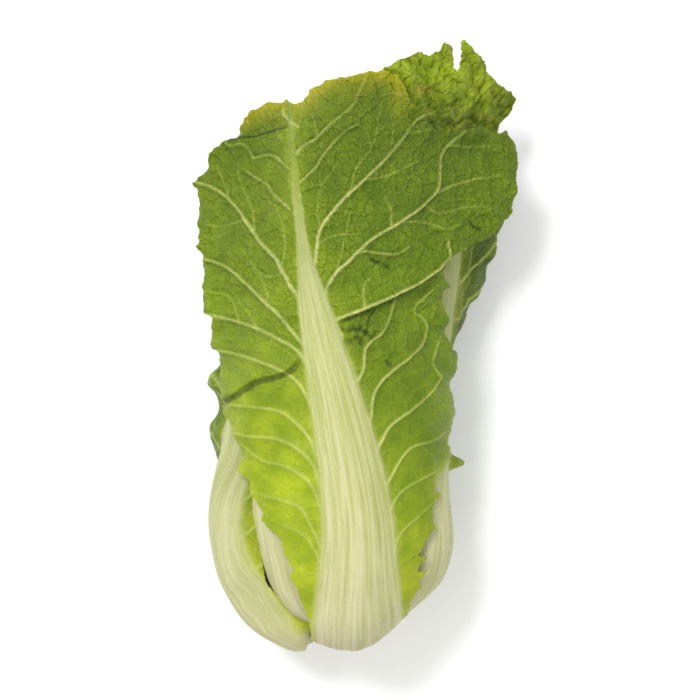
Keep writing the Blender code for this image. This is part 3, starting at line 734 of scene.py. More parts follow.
def cut_sheet(m, cell_mm):
    """Marching triangles where m > 0 over a grid. Returns ways to carry grid values to the vertices, and triangles."""
    rows, cols = m.shape
    m = np.where(np.abs(m) < 0.10 * cell_mm, np.where(m >= 0, 0.10, -0.10) * cell_mm, m)
    on = m > 0
    flat = np.arange(rows * cols).reshape(rows, cols)
    number = np.full((rows, cols), -1)
    number[on] = np.arange(on.sum())
    first = [flat[on]]
    second = [flat[on]]
    share = [np.zeros(on.sum())]
    count = int(on.sum())

    def crossings(a, b):
        nonlocal count
        ma, mb = m[a], m[b]
        cut = (ma > 0) != (mb > 0)
        out = np.full(ma.shape, -1)
        out[cut] = count + np.arange(cut.sum())
        count += int(cut.sum())
        first.append(flat[a][cut])
        second.append(flat[b][cut])
        share.append((ma / (ma - mb + 1e-30))[cut])
        return out

    low, high = slice(None, -1), slice(1, None)
    full = slice(None)
    h = crossings((full, low), (full, high))
    v = crossings((low, full), (high, full))
    d = crossings((low, low), (high, high))
    tris = []
    for a, b, c, ab, bc, ca in (
            (number[:-1, :-1], number[:-1, 1:], number[1:, 1:], h[:-1], v[:, 1:], d),
            (number[:-1, :-1], number[1:, 1:], number[1:, :-1], d, h[1:], v[:, :-1])):
        ia, ib, ic = a >= 0, b >= 0, c >= 0
        for mask, sets in (
                (ia & ib & ic, [(a, b, c)]),
                (ia & ~ib & ~ic, [(a, ab, ca)]),
                (~ia & ib & ~ic, [(b, bc, ab)]),
                (~ia & ~ib & ic, [(c, ca, bc)]),
                (ia & ib & ~ic, [(a, b, bc), (a, bc, ca)]),
                (~ia & ib & ic, [(b, c, ca), (b, ca, ab)]),
                (ia & ~ib & ic, [(c, a, ab), (c, ab, bc)])):
            for s in sets:
                tris.append(np.stack([x[mask] for x in s], axis=1))
    tris = np.concatenate(tris)
    first, second, share = np.concatenate(first), np.concatenate(second), np.concatenate(share)

    def carry(values):
        v = values.reshape(rows * cols, -1)
        out = v[first] + (v[second] - v[first]) * share[:, None]
        return out if values.ndim == 3 else out[:, 0]

    return carry, tris


def open_edges(tris, count):
    """Directed edges that only one triangle has."""
    e = np.concatenate([tris[:, [0, 1]], tris[:, [1, 2]], tris[:, [2, 0]]])
    code = e[:, 0].astype(np.int64) * count + e[:, 1]
    back = e[:, 1].astype(np.int64) * count + e[:, 0]
    return e[~np.isin(code, back)]


def make_object(name, verts, tris, uv, values, material, node, slot_name):
    """A smooth mesh object in metres that stands for a CAD node. uv is one pair per triangle corner."""
    me = bpy.data.meshes.new(name)
    me.vertices.add(len(verts))
    me.vertices.foreach_set("co", (verts * 0.001).astype(np.float32).ravel())
    me.loops.add(3 * len(tris))
    me.loops.foreach_set("vertex_index", tris.astype(np.int32).ravel())
    me.polygons.add(len(tris))
    me.polygons.foreach_set("loop_start", np.arange(0, 3 * len(tris), 3, dtype=np.int32))
    me.polygons.foreach_set("use_smooth", np.ones(len(tris), bool))
    me.update(calc_edges=True)
    me.validate()
    layer = me.uv_layers.new(name="OFBake")
    layer.uv.foreach_set("vector", uv.astype(np.float32).ravel())
    for key, v in values.items():
        if v.shape[1] == 4:
            at = me.attributes.new(key, "FLOAT_COLOR", "POINT")
            at.data.foreach_set("color", v.astype(np.float32).ravel())
        else:
            at = me.attributes.new(key, "FLOAT_VECTOR", "POINT")
            at.data.foreach_set("vector", v.astype(np.float32).ravel())
    me.materials.append(material)
    ob = bpy.data.objects.new(name, me)
    bpy.context.scene.collection.objects.link(ob)
    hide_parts(node)
    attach(ob, "root")
    return ob


def close_leaf(name, m, cell_mm, outer, inner, fields, material, node, slot_name):
    """Outer and inner faces and the rim between them as one closed mesh."""
    rows, cols = m.shape
    carry, tris = cut_sheet(m, cell_mm)
    out, inn = carry(outer), carry(inner)
    n = len(out)
    grid = np.stack([np.broadcast_to(np.linspace(0.004, 0.488, cols)[None], m.shape),
                     np.broadcast_to(np.linspace(0.006, 0.994, rows)[:, None], m.shape)], axis=-1)
    uv = carry(grid)
    a, b, c = out[tris[:, 0]], out[tris[:, 1]], out[tris[:, 2]]
    rims = open_edges(tris, n)
    d = uv[rims[:, 1]] - uv[rims[:, 0]]
    d /= np.maximum(np.linalg.norm(d, axis=1, keepdims=True), 1e-12)
    away = np.stack([d[:, 1], -d[:, 0]], axis=1) * 0.0022
    e0, e1 = rims[:, 0], rims[:, 1]
    faces = np.concatenate([tris, tris[:, ::-1] + n,
                            np.stack([e1, e0, e0 + n], axis=1), np.stack([e1, e0 + n, e1 + n], axis=1)])
    half = np.array([0.504, 0.0])
    corners = np.concatenate([
        uv[tris], uv[tris[:, ::-1]] + half,
        np.stack([uv[e1], uv[e0], uv[e0] + away], axis=1),
        np.stack([uv[e1], uv[e0] + away, uv[e1] + away], axis=1)])
    verts = np.concatenate([out, inn])
    f = faces
    p, q, r = verts[f[:, 0]], verts[f[:, 1]], verts[f[:, 2]]
    if np.einsum("ij,ij->i", p, np.cross(q, r)).sum() < 0:
        faces = faces[:, ::-1]
        corners = corners[:, ::-1]
    values = {k: np.concatenate([carry(v)] * 2) for k, v in fields.items()}
    return make_object(name, verts, faces, corners, values, material, node, slot_name)


def linear(rgb):
    c = np.asarray(rgb, float) / 255.0
    return np.where(c <= 0.04045, c / 12.92, ((c + 0.055) / 1.055) ** 2.4)


def tone(keys, x):
    """Colour along x through (x, (r, g, b)) keys in 0 to 255, as linear values."""
    xs = [k for k, _ in keys]
    cs = np.array([c for _, c in keys], float)
    return linear(np.stack([np.interp(x, xs, cs[:, k]) for k in range(3)], axis=-1))


def mix(a, b, f):
    return a + (b - a) * f[..., None]


FRONT_VEINS = [
    (1.5, 0.9, [(-27, 171), (-28, 177), (-29, 185), (-33, 191), (-40, 204), (-47, 212), (-56, 225), (-65, 236), (-74, 243), (-87, 248)]),
    (1.5, 0.8, [(-21, 142), (-22, 149), (-24, 157), (-28, 162), (-35, 171), (-43, 180), (-55, 191), (-67, 201), (-82, 207), (-85, 212)]),
    (1.5, 0.8, [(-19, 125), (-20, 133), (-22, 141), (-24, 148), (-29, 157), (-37, 162), (-48, 168), (-63, 173), (-78, 177)]),
    (1.2, 0.7, [(-18, 111), (-20, 119), (-22, 126), (-25, 135), (-31, 143), (-41, 149), (-55, 154), (-71, 158)]),
    (1.2, 0.6, [(-17, 95), (-20, 104), (-23, 112), (-29, 119), (-38, 126), (-51, 128), (-68, 129)]),
    (1.1, 0.6, [(-17, 82), (-19, 92), (-22, 100), (-29, 107), (-40, 112), (-55, 113), (-68, 115)]),
    (1.0, 0.6, [(-16, 72), (-19, 81), (-23, 90), (-31, 96), (-39, 99), (-48, 101), (-59, 109)]),
    (1.0, 0.6, [(-15, 50), (-19, 60), (-23, 69), (-28, 77), (-39, 81), (-53, 84)]),
    (0.9, 0.5, [(-15, 42), (-19, 52), (-24, 61), (-30, 65), (-37, 68)]),
    (0.8, 0.5, [(-33, 230), (-41, 238), (-44, 243), (-47, 245), (-56, 251)]),
    (0.8, 0.5, [(-34, 251), (-37, 255), (-41, 258), (-46, 259), (-52, 258), (-57, 265), (-65, 265), (-67, 268)]),
    (0.32, 0.2, [(-60, 173), (-63, 180), (-67, 186), (-78, 189)]),
    (0.32, 0.2, [(-38, 196), (-47, 196), (-55, 205), (-59, 210)]),
    (0.32, 0.2, [(-58, 225), (-70, 223), (-78, 224)]),
    (0.32, 0.2, [(-56, 129), (-58, 137)]),
    (0.32, 0.2, [(-51, 219), (-54, 233), (-60, 246), (-61, 256)]),
    (0.32, 0.2, [(-37, 200), (-36, 215), (-39, 228), (-45, 236)]),
    (0.32, 0.2, [(-65, 236), (-70, 247), (-73, 256)]),
    (0.32, 0.2, [(-43, 180), (-45, 189), (-50, 197)]),
    (0.32, 0.2, [(-48, 168), (-55, 177), (-62, 184)]),
    (0.9, 0.6, [(-30, 255), (-27, 261), (-19, 267), (-13, 272), (-2, 281), (3, 290), (6, 300)]),
    (0.8, 0.5, [(-28, 236), (-28, 242), (-21, 249), (-17, 255), (-13, 261), (-5, 269), (2, 273)]),
    (1.5, 0.8, [(-21, 184), (-21, 191), (-20, 203), (-17, 219), (-7, 233), (5, 245), (17, 257), (26, 269), (31, 276), (38, 280)]),
    (1.6, 0.8, [(-7, 165), (-13, 175), (-15, 186), (-10, 196), (-4, 202), (7, 213), (22, 223), (35, 233), (42, 241), (44, 249), (45, 259), (49, 265), (57, 272)]),
    (0.7, 0.4, [(45, 259), (49, 264), (59, 264), (71, 265)]),
    (0.7, 0.4, [(43, 240), (52, 244), (66, 248), (78, 250)]),
    (0.8, 0.5, [(0, 206), (4, 208), (13, 207), (21, 207), (27, 211)]),
    (0.6, 0.4, [(18, 220), (18, 228), (15, 236)]),
    (1.5, 0.9, [(-11, 172), (-9, 173), (5, 179), (21, 187), (32, 193), (46, 204), (48, 209), (48, 215)]),
    (0.6, 0.4, [(4, 180), (4, 190), (7, 194)]),
    (1.2, 0.6, [(0, 139), (4, 148), (5, 158), (9, 163), (13, 166), (17, 175), (20, 186)]),
    (1.3, 0.6, [(6, 116), (8, 123), (9, 133), (13, 141), (19, 147), (28, 154), (34, 161), (37, 169)]),
    (0.6, 0.4, [(37, 169), (35, 174), (31, 177), (31, 180), (40, 189)]),
    (1.2, 0.6, [(9, 100), (13, 110), (18, 119), (29, 127), (39, 136), (44, 143)]),
    (0.6, 0.4, [(44, 143), (41, 149), (41, 155), (44, 165)]),
    (1.1, 0.5, [(12, 80), (17, 90), (27, 106), (39, 110), (47, 114)]),
    (1.0, 0.5, [(15, 67), (17, 73), (24, 85), (41, 94)]),
    (0.8, 0.4, [(19, 51), (23, 63), (34, 73), (42, 80)]),
    (0.32, 0.2, [(-7, 233), (-2, 241), (1, 251), (9, 262), (12, 277), (15, 290)]),
    (0.32, 0.2, [(5, 245), (13, 246), (23, 250), (34, 256)]),
    (0.32, 0.2, [(17, 257), (19, 267), (18, 278)]),
    (0.32, 0.2, [(22, 223), (34, 224), (47, 221), (56, 224)]),
    (0.32, 0.2, [(35, 233), (44, 229), (60, 233), (75, 233)]),
    (0.32, 0.2, [(-19, 267), (-21, 277), (-19, 289)]),
    (0.32, 0.2, [(-33, 241), (-35, 262), (-41, 275), (-44, 283)]),
    (0.32, 0.2, [(-10, 196), (-5, 215), (-3, 228)]),
    (0.32, 0.2, [(-18, 212), (-10, 216), (3, 217)]),
    (0.32, 0.2, [(26, 269), (39, 272), (52, 278)]),
    (0.32, 0.2, [(-29, 273), (-26, 281), (-27, 288)]),
    (0.32, 0.2, [(-17, 219), (-19, 230), (-17, 241), (-10, 251)]),
]


(IT, IA, INNER), (OT, OA, OUTER, FRONT) = build_stacks()
_, SHIFT = all_solids()
VEIN_TINT = linear((226, 234, 166))
BLADE_GAIN = np.array([0.61, 0.62, 0.17])
PALE_GAIN = np.array([0.61, 0.60, 0.57])
# the outlines were taken looking straight down at this point from this far above the floor
VIEW_X, VIEW_Y, VIEW_HEIGHT, VIEW_DISTANCE = -2.6, 157.6, 1096.0, 1011.0


def settle(tint, pale):
    """The colours were noted under a strong soft light; this takes that light out of them."""
    return np.clip(tint * mix(BLADE_GAIN + 0 * tint, PALE_GAIN + 0 * tint, np.clip(pale, 0, 1)), 0, 1)


def fine_grid(rows, lin, lout, stands, low_deg, high_deg, step):
    """Stations, directions, inner face, outward normals and room across, on an even fine grid."""
    columns = lin.shape[1]
    probe = np.radians(np.linspace(low_deg, high_deg, 721))
    li = (weights_rows(rows, np.array([0.7])) @ lin @ weights_round(columns, probe).T)[0]
    p = np.stack(place(np.full(721, 0.7), probe, li, stands), axis=-1)
    run = np.concatenate([[0], np.cumsum(np.linalg.norm(np.diff(p, axis=0), axis=1))])
    angles = np.interp(np.linspace(0, run[-1], max(12, int(run[-1] / step))), run, probe)
    mid = np.linspace(rows[0], rows[-1] + (0.03 if stands else 0), 241)
    a0 = math.radians((low_deg + high_deg) / 2)
    lc = (weights_rows(rows, mid) @ lin @ weights_round(columns, np.array([a0])).T)[:, 0]
    p = np.stack(place(mid, np.full(241, a0), lc, stands), axis=-1)
    run = np.concatenate([[0], np.cumsum(np.linalg.norm(np.diff(p, axis=0), axis=1))])
    t = np.interp(np.linspace(0, run[-1], max(12, int(run[-1] / step))), run, mid)
    wt, wa = weights_rows(rows, t), weights_round(columns, angles)
    li, lo = wt @ lin @ wa.T, wt @ lout @ wa.T
    t2, a2 = t[:, None] + 0 * angles[None], angles[None] + 0 * t[:, None]
    x, y, z = place(t2, a2, li, stands)
    inner = np.stack([x, y, z], axis=-1)
    room = np.linalg.norm(np.stack(place(t2, a2, lo, stands), axis=-1) - inner, axis=-1)
    return t2, a2, inner, surface_normals(inner), room, wt, wa


def soft_top(d, limit):
    """d, bent over smoothly so that it stays under the limit."""
    limit = np.maximum(limit, 0.05)
    return np.where(d > 0.6 * limit, limit - 0.4 * limit * np.exp(-(d - 0.6 * limit) / (0.4 * limit)), d)


def edge_thickness(m):
    return 0.35 + 0.65 * (1 - np.exp(-np.maximum(m, 0) / 1.3))


FRONT_LEFT = [(40, (186, 202, 74)), (90, (178, 196, 62)), (125, (158, 178, 48)), (160, (140, 162, 44)), (200, (128, 152, 44)),
              (240, (120, 144, 42)), (275, (108, 132, 34)), (300, (116, 138, 40))]
FRONT_RIGHT = [(40, (172, 186, 52)), (75, (146, 168, 36)), (110, (124, 150, 26)), (150, (122, 148, 26)), (185, (124, 150, 38)),
               (230, (110, 136, 40)), (265, (106, 130, 40)), (300, (110, 134, 38))]
FRONT_RIB = [(-6, (196, 174, 132)), (6, (210, 196, 156)), (16, (226, 220, 180)), (40, (224, 220, 170)), (80, (219, 217, 154)),
             (140, (213, 217, 146)), (195, (206, 213, 138)), (228, (184, 196, 108)), (262, (158, 174, 82)), (290, (140, 158, 66))]
FRONT_FOLD = [(-11, 172), (-9.4, 173.2), (5, 179), (21, 187.3), (31.7, 193.4), (46, 204.4), (48, 208.5), (48.5, 215)]
FRONT_LAP = [(-80, 261), (-77, 263), (-71.5, 267.5), (-57, 268.6), (-42.3, 270.7), (-32.5, 272.6)]
# small nicks in the blade, drawn only as dark strokes of painted shade
NICKS = [[(8, 204), (10, 202.8), (12, 202.4)], [(14, 201.4), (16, 200.2)], [(46, 187), (48.4, 185), (50, 184.6)],
         [(16, 152), (17.5, 149.6)], [(37, 277), (39.5, 275), (41, 272.6)], [(60, 225), (62, 222.5), (65, 221.5)]]
FRONT_CREASE = [(-77, 128), (-68, 131), (-54.6, 139.4), (-48, 143), (-37, 145.6), (-31, 150), (-29, 155)]


def side_of(points, x, y):
    """Distance to an open line, positive on its left-hand side, and the share of the line nearest."""
    q, share = smooth_line(points, 1.0)
    best = np.full(np.shape(x), 1e9)
    sign = np.ones(np.shape(x))
    near = np.zeros(np.shape(x))
    for k in range(len(q) - 1):
        (ax, ay), (bx, by) = q[k], q[k + 1]
        dx, dy = bx - ax, by - ay
        s = np.clip(((x - ax) * dx + (y - ay) * dy) / max(dx * dx + dy * dy, 1e-9), 0, 1)
        d = np.hypot(x - ax - s * dx, y - ay - s * dy)
        closer = d < best
        best = np.where(closer, d, best)
        sign = np.where(closer, np.sign(dx * (y - ay) - dy * (x - ax)), sign)
        near = np.where(closer, share[k], near)
    return best * sign, near


def build_front(material):
    mc, lin, lout = FRONT
    step = 0.74
    t, a, inner, normal, room, wt, wa = fine_grid(OUTER_ROWS, lin, lout, True, -100, 100, step)
    x, y = inner[..., 0] + 0.8 * normal[..., 0], inner[..., 1]
    m = outline_distance(FRONT_OUTLINE, x, y)
    m = np.minimum(m, (math.radians(98) - np.abs(turn(a, 0.0))) * head_radius(t, True))
    half = hermite(FRONT_RIB_HALF_WIDTH, y)
    off = x - hermite(FRONT_MIDRIB, y)
    u = np.abs(off) / np.maximum(half, 0.8)
    rib = 1 - ramp(u, 0.86, 1.12)
    blade = ramp(y, 14, 60) * (1 - rib)
    rib_fade = 1 - 0.75 * ramp(y, 200, 262)
    m = m + blade * np.clip(m + 6, 0, 6) / 6 * (0.7 * noise(x / 3.1, y / 3.1, 5) + 0.5 * noise(x / 7, y / 7, 6))
    m = np.where(connected(m > 0, (int(0.4 * m.shape[0]), m.shape[1] // 2)), m, np.minimum(m, -1.0))

    field = vein_field(FRONT_VEINS, (-95, 95, -5, 325), 0.4)
    ridge = field.sample(field.ridge, x, y)
    far = field.sample(field.far, x, y)
    f, near = side_of(FRONT_FOLD, x, y)
    f = f + 1.2
    fold_on = ramp(near, 0.0, 0.12) * (1 - ramp(near, 0.82, 1.0)) * (np.abs(f) < 40)
    c, cnear = side_of(FRONT_CREASE, x, y)
    crease_on = ramp(cnear, 0.0, 0.2) * (1 - ramp(cnear, 0.86, 1.0)) * (np.abs(c) < 30)

    # the blade: swells between veins, waves, and ruffles towards the margin
    swell = 1 - np.exp(-(far / 5.0) ** 2)
    edge = np.exp(-np.maximum(m, 0) / 9.0)
    grown = ramp(y, 90, 190)
    wave = 1.5 * noise(x / 30, y / 34, 11) + 0.9 * noise(x / 13, y / 13, 12) + 0.5 * noise(x / 6, y / 6, 13)
    bend_x, bend_y = x + 2.5 * noise(x / 9, y / 9, 18), y + 2.5 * noise(x / 9, y / 9, 19)
    crumple = 0.55 - 1.5 * np.abs(noise(bend_x / 8, bend_y / 8, 14)) ** 0.8 + 0.4 * np.abs(noise(bend_x / 3.4, bend_y / 3.4, 20))
    fan, reach = np.arctan2(x + 25, np.maximum(y - 120, 8)), np.hypot(x + 25, y - 120)
    fan = fan + 0.05 * noise(x / 14, y / 14, 27)
    folds = (1.2 - 2.4 * np.abs(noise(fan * 7, reach / 55, 28)) ** 0.8 + 0.8 * noise(fan * 15, reach / 40, 29)
             + 0.35 * noise(fan * 32, reach / 30, 30)) * np.clip(reach / 110, 0, 1) * grown
    shape = 0.9 + wave - 0.5 * swell + 0.45 * crumple + 0.55 * folds + 0.20 * noise(x / 2.2, y / 2.2, 25)
    ruffle = edge * (2.6 * noise(x / 12, y / 12, 15) + 1.2 * noise(x / 5.5, y / 5.5, 16))
    disp = blade * ((0.45 + 0.55 * grown) * shape + (0.35 + 0.65 * grown) * ruffle)
    # the upper blade laps over the lower one along the fold, and a shorter lap on the left
    disp = disp + fold_on * (3.4 * ramp(f, -0.5, 0.5) * np.exp(-np.maximum(f, 0) / 13) - 0.4 * (f < 0) * np.exp(f / 5))
    disp = disp + crease_on * (2.4 * ramp(c, -0.4, 0.6) * np.exp(-np.maximum(c, 0) / 8))
    # a puckered pocket below the fold, a slit beside it, and a pale scar near the tip
    pocket = np.exp(-(((x - 3.5) / 9.5) ** 2 + ((y - 166) / 6.5) ** 2)) * (1 - rib)
    disp = disp + pocket * (f < 0.3) * (1.3 * noise(x / 2.8, y / 2.8, 42) - 0.4)
    # the top left of the blade is folded down behind the rest
    g, gnear = side_of(FRONT_LAP, x, y)
    lap_on = ramp(gnear, 0.0, 0.08) * (1 - ramp(gnear, 0.92, 1.0)) * (np.abs(g) < 20)
    disp = disp + lap_on * (1.9 * ramp(-g, -0.4, 0.4) * np.exp(-np.maximum(-g, 0) / 8))
    marks = Field(-95, 95, -5, 325, 0.4)
    q, _ = smooth_line([(9.5, 178), (6.6, 173.5), (5.7, 166)], 0.3)
    marks.stamp(q, np.full(len(q), 0.55), np.ones(len(q)))
    slit = marks.sample(marks.ridge, x, y)
    marks = Field(-95, 95, -5, 325, 0.4)
    q, _ = smooth_line([(-37, 283), (-34, 277.5), (-29, 273)], 0.3)
    marks.stamp(q, np.full(len(q), 0.42), np.full(len(q), 0.8))
    scar = marks.sample(marks.ridge, x, y)
    marks = Field(-95, 95, -5, 325, 0.4)
    for stroke in NICKS:
        q, _ = smooth_line(stroke, 0.3)
        marks.stamp(q, np.full(len(q), 0.75), np.ones(len(q)))
    nicks = marks.sample(marks.ridge, x, y)
    disp = disp + 0.7 * np.exp(-(((x - 9) / 2.5) ** 2 + ((y - 172) / 6) ** 2)) - 0.5 * slit
    disp = np.maximum(disp, -0.45)
    top = ramp(y, 272, 282)
    disp = disp + top * (1 - rib) * (1.0 + 1.4 * noise(x / 8, y / 8, 17))

    # the rib: full and rounded, fluted along its length
    across = off / np.maximum(half, 2.0)
    flute = (1.3 * noise(across * 2.6 + 0.3, y / 190, 21) + 0.8 * noise(across * 6.0, y / 150, 22)
             + 0.5 * noise(across * 13.0, y / 120, 26))
    body = np.clip(1 - u ** 2, 0, 1) ** 0.6
    thick = 1.0 + np.maximum(room - 1.0, 0) * body
    thick = np.where(half < 5, 1.0 + 2.2 * np.exp(-u ** 2), thick)
    thick = thick + rib * ramp(half, 3, 9) * (0.34 * flute + 0.1) + 0.10 * rib * noise(off / 4, y / 8, 23)
    outer_extra = blade * (1.30 * ridge + 0.32 * np.exp(-(far / 2.4) ** 2))
    base = inner + normal * disp[..., None]
    outer = base + normal * ((thick + outer_extra) * edge_thickness(m))[..., None]

    # colour
    left = tone(FRONT_LEFT, y)
    right = tone(FRONT_RIGHT, y)
    green = mix(left, right, ramp(off, -12, 12))
    # tone varies at random, and is also painted lighter on the raised crumples and folds and darker in their dips:
    # painted light and shade of the relief
    green = green * (1 + 0.07 * noise(x / 24, y / 24, 31) + 0.06 * noise(x / 9, y / 9, 32) + 0.06 * crumple * grown + 0.05 * folds)[..., None]
    # painted shadow: a darker line beside each raised vein, where its shadow falls
    green = green * (1 - 0.20 * np.exp(-((far - 1.5) / 1.0) ** 2) * grown)[..., None]
    high = ramp(y, 262, 280) * (1 - ramp(x, 20, 30)) * ramp(x, -64, -56)
    wide = 1.2 + 3.6 * high + 1.6 * noise(x / 9, y / 9, 35) * high
    margin = np.exp(-np.maximum(m, 0) / np.maximum(wide, 0.8))
    yellow = linear((188, 180, 26))
    green = mix(green, yellow + 0 * green, np.clip(margin * (0.16 + 0.95 * high), 0, 0.92))
    low_edge = np.exp(-np.maximum(m, 0) / 4.0) * (1 - ramp(y, 90, 150))
    green = mix(green, linear((196, 206, 92)) + 0 * green, 0.45 * low_edge)
    near_rib = np.exp(-np.maximum(np.abs(off) - half, 0) / 5.0) * blade
    green = mix(green, linear((184, 200, 84)) + 0 * green, 0.38 * near_rib)
    ribs = tone(FRONT_RIB, y)
    stripe = np.clip(0.55 + 0.55 * flute, 0, 1)
    lean = 0.30 + 0.45 * ramp(across, -0.2, 0.7) * (1 - ramp(y, 130, 200))
    ribs = mix(ribs * 1.05, ribs * linear((214, 226, 168)), lean * (1 - stripe))
    shade_side = ramp(u, 0.55, 1.0) * ramp(y, 8, 40)
    ribs = mix(ribs, linear((196, 204, 116)) + 0 * ribs, 0.40 * shade_side)
    tint = mix(green, ribs, rib)
    tint = mix(tint, VEIN_TINT + 0 * tint, np.clip(1.15 * ridge, 0, 0.92) * (1 - rib) * (1 - 0.45 * ramp(y, 225, 285)))
    # painted shade: a painted shadow under the fold where the upper blade laps over the lower one, and painted shade in
    # the left crease, the puckered pocket, the slit, the nicks and along the top left lap's edge
    painted_shade = fold_on * np.exp(-(np.minimum(f, 0) / 1.2) ** 2) * (f < 0.1) * 0.6
    band = 2.5 + 1.0 * noise(x / 6, y / 6, 43)
    painted_shade = np.maximum(painted_shade, crease_on * ramp(c, -band - 0.5, -band + 0.3) * (1 - ramp(c, -0.2, 0.3)) * (0.56 + 0.14 * noise(x / 2, y / 2, 44)))
    painted_shade = np.maximum(painted_shade, 0.88 * pocket * np.clip(0.50 + 1.5 * noise(x / 3.4, y / 3.4, 41), 0, 1) * (f < 0.5) * (1 - ridge))
    painted_shade = np.maximum(painted_shade, 0.95 * slit)
    painted_shade = np.maximum(painted_shade, 0.95 * nicks)
    painted_shade = np.maximum(painted_shade, 0.8 * lap_on * np.exp(-((g - 0.5) / 0.9) ** 2))
    ashen = lap_on * ramp(g, 0.0, 0.8) * np.exp(-np.maximum(g, 0) / 7.0) * (1 - margin)
    tint = mix(tint, tint * linear((206, 208, 214)) / linear((228, 232, 206)), 0.9 * ashen)
    tint = mix(tint, linear((236, 238, 208)) + 0 * tint, 0.85 * scar)
    # the painted shade is mixed in as a dark green
    tint = mix(tint, linear((40, 60, 8)) + 0 * tint, np.clip(1.1 * painted_shade, 0, 0.95))
    tint = settle(tint, np.maximum(rib * rib_fade, 1.15 * np.maximum(ridge, scar)))
    fields = {
        "tint": np.concatenate([tint, np.ones(tint.shape[:2] + (1,))], axis=-1),
        "marks": np.stack([rib * rib_fade, np.clip(ridge, 0, 1), 0.7 * margin * blade * high], axis=-1),
        "flat": np.stack([x, y, inner[..., 2] * 0.5], axis=-1),
        "along": np.stack([off / np.maximum(half, 2.0) * 12, y, 0.25 + 0.75 * ramp(y, 100, 215)], axis=-1)}
    return close_leaf("front_leaf_skin", m, step, outer - SHIFT, base - SHIFT, fields, material, "front_leaf", "front_leaf")


LOOKS = {
    # the right leaf's dark blade tones from 160 to 240 mm are painted shade of its steep side, not its own colour
    "right_leaf": dict(step=1.15, seed=71, slot="side_leaves",
                       blade=[(50, (170, 186, 70)), (110, (122, 148, 36)), (160, (62, 92, 12)), (240, (66, 96, 14)),
                              (275, (112, 136, 28)), (343, (144, 166, 28))],
                       rib=[(0, (222, 216, 172)), (60, (208, 206, 158)), (120, (204, 208, 150)), (200, (190, 198, 128)), (300, (170, 188, 90))],
                       ribs=[(0, 63), (0.3, 66), (0.45, 74), (0.6, 79), (0.75, 75), (0.85, 66), (1.08, 58)]),
    "left_leaf": dict(step=1.2, seed=72, slot="side_leaves",
                      blade=[(40, (188, 196, 84)), (100, (158, 172, 48)), (130, (96, 126, 26)), (200, (98, 128, 30)),
                             (280, (112, 138, 34)), (343, (126, 146, 34))],
                      rib=[(0, (228, 214, 176)), (40, (224, 218, 178)), (80, (214, 212, 162)), (140, (204, 208, 148)), (220, (196, 206, 126))],
                      ribs=[(0, -76), (0.2, -80), (0.3, -76), (0.42, -62), (1.08, -62)]),
    "back_leaf": dict(step=1.3, seed=73, slot="side_leaves",
                      blade=[(40, (180, 194, 74)), (110, (140, 162, 46)), (180, (112, 140, 36)), (260, (104, 130, 30)), (343, (124, 146, 34))],
                      rib=[(0, (226, 216, 178)), (60, (220, 216, 170)), (140, (212, 214, 156)), (240, (198, 208, 128))]),
    "outer_leaf_2": dict(step=1.5, seed=74, slot="under_leaves",
                         blade=[(40, (204, 208, 108)), (100, (186, 198, 78)), (180, (152, 174, 58)), (260, (130, 154, 46)), (343, (142, 164, 44))],
                         rib=[(0, (226, 210, 172)), (40, (232, 222, 188)), (100, (226, 222, 178)), (240, (206, 212, 140))]),
}
UNDER = dict(step=2.0, slot="under_leaves",
             blade=[(40, (206, 210, 110)), (110, (186, 198, 80)), (180, (160, 180, 62)), (260, (136, 160, 50)), (343, (148, 168, 50))],
             rib=[(0, (230, 218, 182)), (60, (228, 222, 182)), (240, (210, 214, 150))])
INSIDE = dict(step=3.0, slot="inner_leaves",
              blade=[(40, (232, 228, 160)), (110, (228, 224, 138)), (200, (214, 214, 108)), (300, (192, 202, 84)), (343, (178, 194, 72))],
              rib=[(0, (238, 230, 200)), (100, (238, 232, 190)), (300, (226, 224, 160))])


def side_veins(width, length, seed):
    """Laterals leaving the midrib on both sides, rising and branching, in leaf coordinates."""
    rng = np.random.default_rng(seed)
    veins = []
    for side in (-1, 1):
        s0 = 62.0 + rng.uniform(0, 8)
        while s0 < 322 * length:
            start = float(hermite(RIB_HALF_WIDTH, s0)) * max(width, 0.5) * 0.7
            reach = float(hermite(LEAF_HALF_WIDTH, min(s0 + 20, 340))) * width - start + 6
            rise = rng.uniform(0.62, 0.95)
            pts, wander = [], 0.0
            for u in np.arange(0, max(reach, 12), 7.0):
                wander += rng.normal(0, 0.9)
                pts.append((side * (start + u), s0 + rise * u + 0.0035 * u * u + wander))
            if len(pts) > 2:
                big = rng.uniform(0.9, 1.35)
                veins.append((big, 0.45, pts))
                for k in range(1, len(pts) - 1):
                    p, q = np.array(pts[k]), np.array(pts[k + 1])
                    d = (q - p) / np.linalg.norm(q - p)
                    turn_by = rng.uniform(0.5, 0.95) * (1 if (k % 2) else -1)
                    e = np.array([d[0] * math.cos(turn_by) - d[1] * math.sin(turn_by), d[0] * math.sin(turn_by) + d[1] * math.cos(turn_by)])
                    n = rng.uniform(10, 22)
                    w = np.array([-e[1], e[0]]) * rng.uniform(-2, 2)
                    veins.append((0.5, 0.28, [tuple(p), tuple(p + e * n * 0.5 + w), tuple(p + e * n)]))
            s0 += rng.uniform(14, 21)
    return veins


def wing_edge(a, x, y):
    """Room inside the left leaf's inner edge, in mm, measured where its surface lies."""
    b = np.minimum(turn(a, math.radians(-90)), 0)
    level = x[:, int(np.argmin(np.abs(a[0] - math.radians(-90))))][:, None]
    return hermite(LEFT_EDGE, y) - np.where(b < 0, level, x) - b * 55.0


def tip_edge(x, y, z):
    """Room inside the right leaf's outline seen from a metre above, in mm."""
    k = VIEW_DISTANCE / (VIEW_HEIGHT - (z - SHIFT[2]))
    return outline_distance(RIGHT_OUTLINE, VIEW_X + (x - VIEW_X) * k, VIEW_Y + (y - VIEW_Y) * k)


